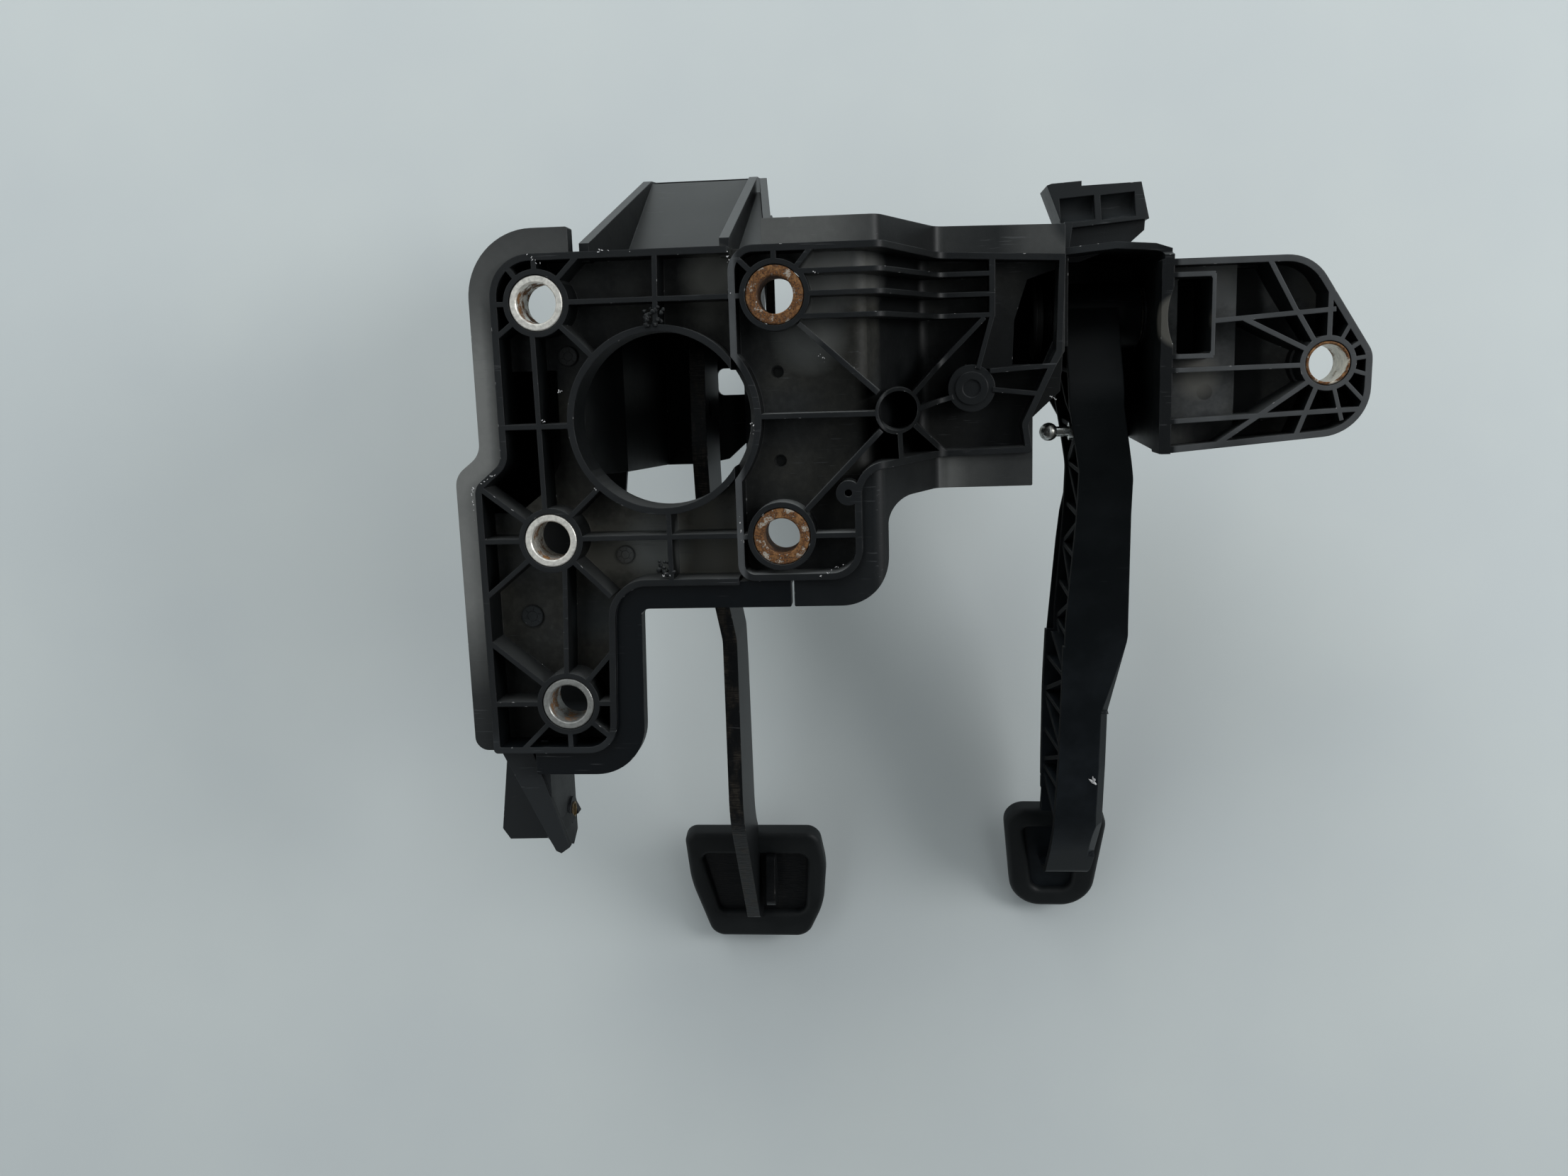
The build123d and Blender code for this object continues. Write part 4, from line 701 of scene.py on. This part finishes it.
def rust_effect():
    """Rust: its colour, and how much of it there is at a place."""
    tree, given, out = group("rust", [("Place", "Vector", None), ("Share", "Float", 0.5)],
                             [("Color", "Color"), ("Mask", "Float"), ("Height", "Float")])
    broad = cloud(tree, given["Place"], 210.0, 5.0, 0.65)
    grit = cloud(tree, given["Place"], 1500.0, 3.0, 0.6)
    amount = reckoned(tree, "ADD", times(tree, broad, 0.75), times(tree, grit, 0.25))
    limit = ramp(tree, given["Share"], 0, 1, 0.72, 0.28)
    mask = ramp(tree, amount, limit, reckoned(tree, "ADD", limit, 0.07))
    deep = mixed(tree, ramp(tree, grit, 0.38, 0.68), deep_rust, dry_rust)
    tree.links.new(mixed(tree, ramp(tree, broad, 0.52, 0.72), deep, orange_rust), out["Color"])
    tree.links.new(mask, out["Mask"])
    tree.links.new(grit, out["Height"])
    return tree


rust = rust_effect()


def sleeve_finish(name, mouth, outer_share, inner_share, plate):
    """Turned steel: the ring that faces the bulkhead, and a bore that rusts from its mouth inwards.

    The mouth is how far back the ring lies, and the two shares say how much rust the ring and the bore have.
    """
    material, tree, surface, place = finish(name)
    depth = step(tree, "SeparateXYZ", {0: place}).outputs["Y"]
    inside = ramp(tree, depth, (mouth + 0.25) * mm, (mouth + 1.4) * mm)
    share = ramp(tree, inside, 0, 1, outer_share, inner_share)
    worn = placed(tree, rust, {"Place": place, "Share": share})
    dull = mixed(tree, ramp(tree, cloud(tree, place, 600.0), 0.4, 0.65), plate,
                 (*(dull_share * c for c in plate[:3]), 1))
    edges = placed(tree, rounded_edges, {"Radius": 0.3 * mm})
    feed(tree, surface, {"Base Color": mixed(tree, worn["Mask"], dull, worn["Color"]),
                         "Metallic": ramp(tree, worn["Mask"], 0, 1, 0.6, 0.0),
                         "Roughness": ramp(tree, worn["Mask"], 0, 1, 0.34, 0.85),
                         "Normal": relief(tree, worn["Height"], 0.5, 0.2, edges["Normal"])})
    return material


coat(sleeve_finish("zinc_sleeves", front_mouth, 0.1, 0.55, bright_zinc), "sleeve_upper_left", "sleeve_middle_left")
coat(sleeve_finish("dim_reflection_zinc_sleeve", front_mouth, 0.16, 0.5, dim_reflection_zinc), "sleeve_lower_left")
coat(sleeve_finish("zinc_side_sleeve", side_mouth, 0.78, 0.35, side_zinc), "sleeve_side")
coat(sleeve_finish("rusty_sleeves", front_mouth, 0.74, 0.97, bare_steel), "sleeve_upper_centre", "sleeve_lower_centre")


# Foot insert: a small brass bush with an M6 thread, moulded into the foot's right wall and now brown with dirt.
# The thread inside it is a coil of its own.
clean_brass = (0.3, 0.22, 0.1, 1)
brass_dirt = (0.07, 0.05, 0.03, 1)
insert_crest = 2.15
insert_pitch = 1.0
insert_thread_depth = 0.45
coil_steps = 20


def tarnished_brass():
    material, tree, surface, place = finish("tarnished_brass")
    dirt = ramp(tree, cloud(tree, place, 700.0, 4.0), 0.4, 0.6)
    feed(tree, surface, {"Base Color": mixed(tree, dirt, clean_brass, brass_dirt),
                         "Metallic": ramp(tree, dirt, 0, 1, 0.8, 0.1),
                         "Roughness": ramp(tree, dirt, 0, 1, 0.35, 0.75)})
    return material


def thread(middle, start_x, end_x, crest, pitch, depth):
    """A screw thread as one closed coil along X, with its crest inside its root."""
    shape = bmesh.new()
    start, end = Vector((start_x, middle.y, middle.z)), Vector((end_x, middle.y, middle.z))
    axis = (end - start).normalized()
    out = axis.orthogonal().normalized()
    root = start + out * (crest + depth)
    corners = [start + out * crest, root + axis * pitch * 0.45, root - axis * pitch * 0.45]
    verts = [shape.verts.new(c) for c in corners]
    edges = [shape.edges.new((verts[k], verts[(k + 1) % 3])) for k in range(3)]
    turns = (end - start).length / pitch
    bmesh.ops.spin(shape, geom=verts + edges, cent=start, axis=axis, dvec=axis * pitch / coil_steps,
                   angle=turns * 2 * math.pi, steps=round(turns * coil_steps), use_merge=False)
    bmesh.ops.holes_fill(shape, edges=shape.edges, sides=3)
    return shape


insert_low, insert_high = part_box("foot_insert")
brass = tarnished_brass()
coat(brass, "foot_insert")
insert_coil = thread((insert_low + insert_high) / 2, insert_low.x + 1 * mm, insert_high.x - 1.8 * mm,
                     insert_crest * mm, insert_pitch * mm, insert_thread_depth * mm)
piece("foot_insert_thread", insert_coil, brass, "box")


# Brake arm: 6 mm steel plate, cut to its swept outline, joggled and coated black. Its front edge has been
# rubbed, so brown primer and bare steel come through, and its flat sides are smooth and glossy.
coat_black = (0.005, 0.0058, 0.0066, 1)
dark_primer = (0.009, 0.0075, 0.006, 1)
pale_primer = (0.036, 0.031, 0.025, 1)
edge_steel = (0.42, 0.4, 0.37, 1)
coat_scratch = (0.13, 0.13, 0.13, 1)


def arm_finish(name, rub):
    """Black paint on steel, with a share that says how far its front is rubbed."""
    material, tree, surface, place = finish(name)
    edges = placed(tree, rounded_edges, {"Radius": 0.5 * mm})
    facing = facing_of(tree)
    front = ramp(tree, facing["Y"], -0.25, -0.5)
    drawn = step(tree, "Mapping", {"Vector": place, "Scale": (1, 1, 0.35)}).outputs[0]
    rubs = ramp(tree, cloud(tree, drawn, 240.0, 6.0, 0.7), 0.48, 0.62)
    rubbed = times(tree, rubs, times(tree, front, rub))
    bands = step(tree, "Mapping", {"Vector": place, "Scale": (0.1, 0.1, 1)}).outputs[0]
    cut = ramp(tree, cloud(tree, bands, 1900.0, 2.0), 0.4, 0.62)
    colour = mixed(tree, rubbed, coat_black, mixed(tree, cut, dark_primer, pale_primer))
    bare = times(tree, ramp(tree, cloud(tree, place, 330.0, 4.0), 0.62, 0.68), edges["Edge"])
    colour = mixed(tree, bare, colour, edge_steel)
    lines = placed(tree, scratches, {"Place": place, "Scale": 1.4, "Share": 0.42})["Mask"]
    colour = mixed(tree, times(tree, lines, 0.4), colour, coat_scratch)
    flat = ramp(tree, reckoned(tree, "ABSOLUTE", facing["X"]), 0.7, 0.9, 0.32, 0.42)
    height = reckoned(tree, "ADD", times(tree, cut, front), cloud(tree, place, 900.0))
    feed(tree, surface, {"Base Color": colour, "Metallic": times(tree, bare, 0.9),
                         "Roughness": larger(tree, flat, ramp(tree, rubbed, 0, 1, 0.3, 0.48)),
                         "Specular IOR Level": 0.22, "Normal": relief(tree, height, 0.3, 0.15, edges["Normal"])})
    return material


black_coat = arm_finish("black_coat", 1.0)
coat(black_coat, "brake_arm")
coat(arm_finish("clean_black_coat", 0.12), "brake_hub_tube", "brake_pad_plate")


# Weld beads: the arm is welded round its hub tube on both of its sides, and painted with it. Each bead is a ring
# that is rippled along its run and a little uneven.
bead = 1.5
bead_steps = 96
ripple = 0.22
ripple_pitch = 1.3
brake_axis = at(6, 98, 69)
hub_radius = 9.5
arm_sides = (3.0, 9.0)

beads = bmesh.new()
for x in arm_sides:
    ring(beads, Vector((x * mm, brake_axis.y, brake_axis.z)), (hub_radius + 0.4) * mm, bead * mm, bead_steps, (1, 0, 0))
beads.normal_update()
for vert in beads.verts:
    wave = math.sin((vert.co.z + vert.co.y) / (ripple_pitch * mm) * math.pi) * ripple
    wave += noise.noise(vert.co * 300) * ripple
    vert.co += vert.normal * wave * mm
piece("hub_weld_beads", beads, black_coat, "brake_pedal")


# Pads: black rubber caps that are stretched over the edges of their plates. Each has a thick rounded rim, a
# recess that leaves the plate's back open, and cross bars for the sole.
clean_rubber = (0.0045, 0.006, 0.0068, 1)
dusty_rubber = (0.0095, 0.0115, 0.0125, 1)
rubber_scratch = (0.08, 0.08, 0.08, 1)


def rubber_finish():
    material, tree, surface, place = finish("pad_rubber")
    dust = ramp(tree, cloud(tree, place, 70.0, 5.0, 0.6), 0.4, 0.7)
    fine = ramp(tree, cloud(tree, place, 1300.0, 3.0), 0.4, 0.7)
    film = times(tree, dust, ramp(tree, fine, 0, 1, 0.6, 1.0))
    lines = placed(tree, scratches, {"Place": place, "Scale": 1.6, "Share": 0.4})["Mask"]
    colour = mixed(tree, times(tree, lines, 0.25), mixed(tree, film, clean_rubber, dusty_rubber), rubber_scratch)
    feed(tree, surface, {"Base Color": colour, "Roughness": ramp(tree, film, 0, 1, 0.5, 0.68),
                         "Specular IOR Level": 0.28,
                         "Normal": relief(tree, cloud(tree, place, 2300.0, 3.0), 0.3, 0.12)})
    return material


rubber = rubber_finish()
pad_tilt = math.radians(15)
plate_half = 1.5
rubber_back = 5.0
rubber_front = 4.5
bar_height = 1.5
bar_sunk = 0.3
bar_round = 0.6
rim_round = 2.6
well_clearance = 0.3


def pad_frame(x, y, z):
    """The pad's own frame: across, down along the sole, and out towards the driver."""
    out = Vector((0, math.cos(pad_tilt), math.sin(pad_tilt)))
    side = Vector((1, 0, 0))
    return Matrix.Translation(at(x, y, z)) @ Matrix((side, out.cross(side), out)).transposed().to_4x4()


def rounded_plate(shape, corners, height):
    """A flat face with rounded corners, given as x, y and radius."""
    verts = [shape.verts.new(at(x, y, height)) for x, y, _ in corners]
    shape.faces.new(verts)
    for vert, (_, _, radius) in zip(verts, corners):
        bmesh.ops.bevel(shape, geom=[vert], offset=radius * mm, segments=10, profile=0.5, affect="VERTICES",
                        offset_type="WIDTH", material=-1)


def only(kind, geom):
    return [part for part in geom if isinstance(part, kind)]


def pad_cap(name, place, corners, recess, bars, ends, bar_width, node, body):
    """One pad's cap, with its rim, recess and bars. Ends gives the left and right ends of the first and last bar."""
    shape = bmesh.new()
    rounded_plate(shape, corners, -rubber_back)
    outer = list(shape.edges)
    bmesh.ops.delete(shape, geom=list(shape.faces), context="FACES_ONLY")
    sides = bmesh.ops.extrude_edge_only(shape, edges=outer)["geom"]
    top_verts, top_edges = only(bmesh.types.BMVert, sides), only(bmesh.types.BMEdge, sides)
    bmesh.ops.translate(shape, vec=(0, 0, (rubber_front + rubber_back) * mm), verts=top_verts)
    bmesh.ops.holes_fill(shape, edges=top_edges)
    made_before = set(shape.edges)
    rounded_plate(shape, recess, -rubber_back)
    inner = [e for e in shape.edges if e not in made_before]
    inner_faces = [f for f in shape.faces if all(e in inner for e in f.edges)]
    well = bmesh.ops.extrude_face_region(shape, geom=inner_faces)["geom"]
    bmesh.ops.delete(shape, geom=inner_faces, context="FACES_ONLY")
    bmesh.ops.translate(shape, vec=(0, 0, (rubber_back - plate_half + well_clearance) * mm),
                        verts=only(bmesh.types.BMVert, well))
    bmesh.ops.bridge_loops(shape, edges=outer + inner)
    rims = [e for e in outer + inner + top_edges if e.is_valid]
    bmesh.ops.bevel(shape, geom=rims, offset=rim_round * mm, segments=5, profile=0.5, affect="EDGES", material=-1,
                    clamp_overlap=True)
    (first_left, first_right), (last_left, last_right) = ends
    for y in bars:
        along = (y - bars[0]) / (bars[-1] - bars[0])
        left = first_left + (last_left - first_left) * along
        right = first_right + (last_right - first_right) * along
        middle = at((left + right) / 2, y, rubber_front + bar_height / 2 - bar_sunk)
        size = ((right - left) * mm, bar_width * mm, (bar_height + 2 * bar_sunk) * mm, 1)
        bar = bmesh.ops.create_cube(shape, size=1.0, matrix=Matrix.Translation(middle) @ Matrix.Diagonal(size))
        bmesh.ops.bevel(shape, geom=edges_of(bar["verts"]), offset=bar_round * mm, segments=3, profile=0.5,
                        affect="EDGES", material=-1)
    shape.transform(place)
    made = piece(name, shape, rubber, body)
    for face in made.data.polygons:
        face.use_smooth = True
    made.modifiers.new("soft_corners", "EDGE_SPLIT").split_angle = math.radians(50)
    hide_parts(node)


brake_pad_corners = [(-32.2, -33.6, 8), (31.4, -33.6, 9), (34.4, -14, 9), (32.4, 8, 12), (24, 27.5, 9),
                     (-22.4, 27.5, 9), (-31, -5, 12)]
brake_recess = [(-24.5, -21.5, 5), (25.5, -21.5, 6), (23.5, 13, 8), (-18, 13, 5)]
pad_cap("brake_pad_cap", pad_frame(13, 127, -229), brake_pad_corners, brake_recess, (-20, -10, 0, 10, 20),
        ((-28, 28), (-21, 24)), 5.0, "brake_pad_rubber", "brake_pedal")


# Bushes: flanged bushes of pale plastic between each pedal and its pivot. They are pushed into the hub from both
# sides and smeared with grease.
bush_plastic = (0.16, 0.145, 0.115, 1)
dark_grease = (0.05, 0.042, 0.03, 1)


def bush_finish():
    material, tree, surface, place = finish("bush_plastic")
    grease = ramp(tree, cloud(tree, place, 260.0, 4.0), 0.45, 0.6)
    feed(tree, surface, {"Base Color": mixed(tree, grease, bush_plastic, dark_grease),
                         "Roughness": ramp(tree, grease, 0, 1, 0.5, 0.25)})
    return material


coat(bush_finish(), "brake_bush_left", "brake_bush_right", "clutch_bush_left", "clutch_bush_right")


# Pivot bolt, nut, pin and clip: dark phosphated steel with a little surface rust on the flats. The bolt and its
# nut clamp the brake bay's cheeks, and the clip holds the clutch pin. The bolt's thread is a coil of its own.
phosphate_grey = (0.07, 0.07, 0.068, 1)
worn_steel = (0.4, 0.4, 0.39, 1)
bolt_crest = 5.0
bolt_pitch = 1.25
bolt_thread_depth = 0.05


def bolt_finish():
    material, tree, surface, place = finish("dark_phosphate")
    worn = placed(tree, rust, {"Place": place, "Share": 0.22})
    edges = placed(tree, rounded_edges, {"Radius": 0.3 * mm})
    colour = mixed(tree, worn["Mask"], phosphate_grey, worn["Color"])
    feed(tree, surface, {"Base Color": mixed(tree, times(tree, edges["Edge"], 0.6), colour, worn_steel),
                         "Metallic": ramp(tree, worn["Mask"], 0, 1, 0.85, 0.1),
                         "Roughness": ramp(tree, worn["Mask"], 0, 1, 0.42, 0.8),
                         "Normal": relief(tree, worn["Height"], 0.4, 0.1, edges["Normal"])})
    return material


phosphate = bolt_finish()
coat(phosphate, "brake_pivot_bolt", "brake_pivot_nut", "clutch_pivot_pin", "clutch_pin_clip")
bolt_low, bolt_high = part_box("brake_pivot_bolt")
nut_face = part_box("brake_pivot_nut")[1].x
bolt_coil = thread((bolt_low + bolt_high) / 2, nut_face + 0.2 * mm, bolt_high.x - 0.9 * mm, bolt_crest * mm,
                   bolt_pitch * mm, bolt_thread_depth * mm)
piece("brake_bolt_thread", bolt_coil, phosphate, "box")


# Clutch arm: moulded in smooth black nylon, closed in front and on the right, with a lattice of ribs open to
# the left. It is the smoothest skin on the box, blue-black, with one chip low on its bevel.
arm_black = (0.0016, 0.0026, 0.003, 1)
arm_grey = (0.0125, 0.0158, 0.0196, 1)
# Painted shade for the open lattice side.
painted_lattice_shade = (0.0008, 0.0012, 0.0015, 1)
arm_scratch = (0.07, 0.075, 0.08, 1)
arm_rubbed = (0.05, 0.055, 0.06, 1)


def clutch_arm_finish():
    material, tree, surface, place = finish("clutch_arm_nylon")
    edges = placed(tree, rounded_edges, {"Radius": 0.9 * mm})
    down = step(tree, "SeparateXYZ", {0: place}).outputs["Z"]
    haze = ramp(tree, cloud(tree, place, 38.0, 4.0, 0.6), 0.4, 0.7)
    # Random haze, faint at the top of the arm and growing towards its foot.
    shade = times(tree, ramp(tree, haze, 0, 1, 0.4, 1.0), ramp(tree, down, -20 * mm, -170 * mm, 0.08, 1.0))
    # Faces of the open lattice side, which face left, are painted near black as shade.
    open_side = ramp(tree, facing_of(tree)["X"], -0.5, -0.8)
    colour = mixed(tree, open_side, mixed(tree, shade, arm_black, arm_grey), painted_lattice_shade)
    lines = placed(tree, scratches, {"Place": place, "Scale": 1.3, "Share": 0.35})["Mask"]
    colour = mixed(tree, times(tree, lines, 0.3), colour, arm_scratch)
    worn = times(tree, edges["Edge"], ramp(tree, cloud(tree, place, 150.0), 0.48, 0.66))
    colour = mixed(tree, times(tree, worn, 0.35), colour, arm_rubbed)
    satin = ramp(tree, haze, 0, 1, 0.36, 0.5)
    wave = reckoned(tree, "ADD", times(tree, cloud(tree, place, 60.0, 1.0), 3.0), cloud(tree, place, 1800.0))
    feed(tree, surface, {"Base Color": colour, "Roughness": larger(tree, satin, times(tree, open_side, 0.85)),
                         "Specular IOR Level": 0.15, "Normal": relief(tree, wave, 0.2, 0.1, edges["Normal"])})
    return material


arm_nylon = clutch_arm_finish()
coat(arm_nylon, "clutch_arm")

# Lip along the open side of the arm's rear wall, wider towards its foot: its left edge, its right edge, and its
# places back and down. A small block thickens the wall further down.
lip_run = [(155.9, 157.2, 107.5, -36), (153.9, 156.2, 111, -47.7), (152.9, 155.6, 114.7, -60.7),
           (152.2, 155.2, 118.5, -74), (151.5, 154.6, 122.3, -87.5), (150.6, 154.4, 126, -103)]
lip_set_in = 0.6
lip_thickness = 1.6
lip_spans = len(lip_run) - 1
lip = bmesh.new()
bmesh.ops.create_grid(lip, x_segments=1, y_segments=lip_spans, size=1.0)
for vert in lip.verts:
    left, right, y, z = lip_run[round((1 - vert.co.y) / 2 * lip_spans)]
    vert.co = at(left if vert.co.x < 0 else right, y + lip_set_in, z)
bmesh.ops.solidify(lip, geom=list(lip.faces), thickness=lip_thickness * mm)
block(lip, at(151.0, 132.2, -178.2), (4.2 * mm, 2.6 * mm, 5.8 * mm), 0.0, 0.2 * mm)
piece("clutch_arm_lip", lip, arm_nylon, "clutch_pedal")

# Chip: a pale nick on the bevel of the arm, low on its right side.
chip_spot = at(170.6, 115, -172.6)
chip_half = at(0, 0, 1.1)
chip_seed = 51
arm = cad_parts["clutch_arm"]
inward = arm.matrix_world.inverted()
start = inward @ view_point
nick = arm.matrix_world @ arm.ray_cast(start, (inward @ chip_spot - start).normalized())[1]
chip = bmesh.new()
flakes(chip, nick - chip_half, nick + chip_half, 6, 2.6 * mm, chip_seed)
piece("arm_chip", chip, raw, "clutch_pedal")

# Clutch pad: a cap like the brake pad's, taller than it is wide and narrower at its top.
clutch_pad_corners = [(-23.7, -29, 14), (26, -28.5, 14), (19.4, 28, 21), (-18.2, 28, 21)]
clutch_recess = [(-13.5, -18.5, 3), (12.5, -18.5, 3), (9.8, 18, 7), (-8.5, 18, 7)]
pad_cap("clutch_pad_cap", pad_frame(155, 143, -219), clutch_pad_corners, clutch_recess, (-16, -8, 0, 8, 16),
        ((-19, 20.5), (-16, 17)), 4.0, "clutch_pad_rubber", "clutch_pedal")


# Ball stud: a bright ball on a short neck of turned steel, pressed into the clutch arm, for the cup of the clutch
# cylinder's rod. An old film of grease dulls it in places.
bright_steel = (0.55, 0.57, 0.56, 1)
filmed_steel = (0.25, 0.25, 0.23, 1)


def ball_finish():
    material, tree, surface, place = finish("bright_ball")
    film = ramp(tree, cloud(tree, place, 500.0, 4.0), 0.42, 0.6)
    feed(tree, surface, {"Base Color": mixed(tree, film, bright_steel, filmed_steel), "Metallic": 1.0,
                         "Roughness": ramp(tree, film, 0, 1, 0.18, 0.36)})
    return material


coat(ball_finish(), "clutch_ball_stud")


# Rest stops: soft rubber buffers on the back walls of the two bays, which the arms come back against. They have
# the same rubber as the pads.
coat(rubber, "brake_rest_bumper", "clutch_rest_bumper")
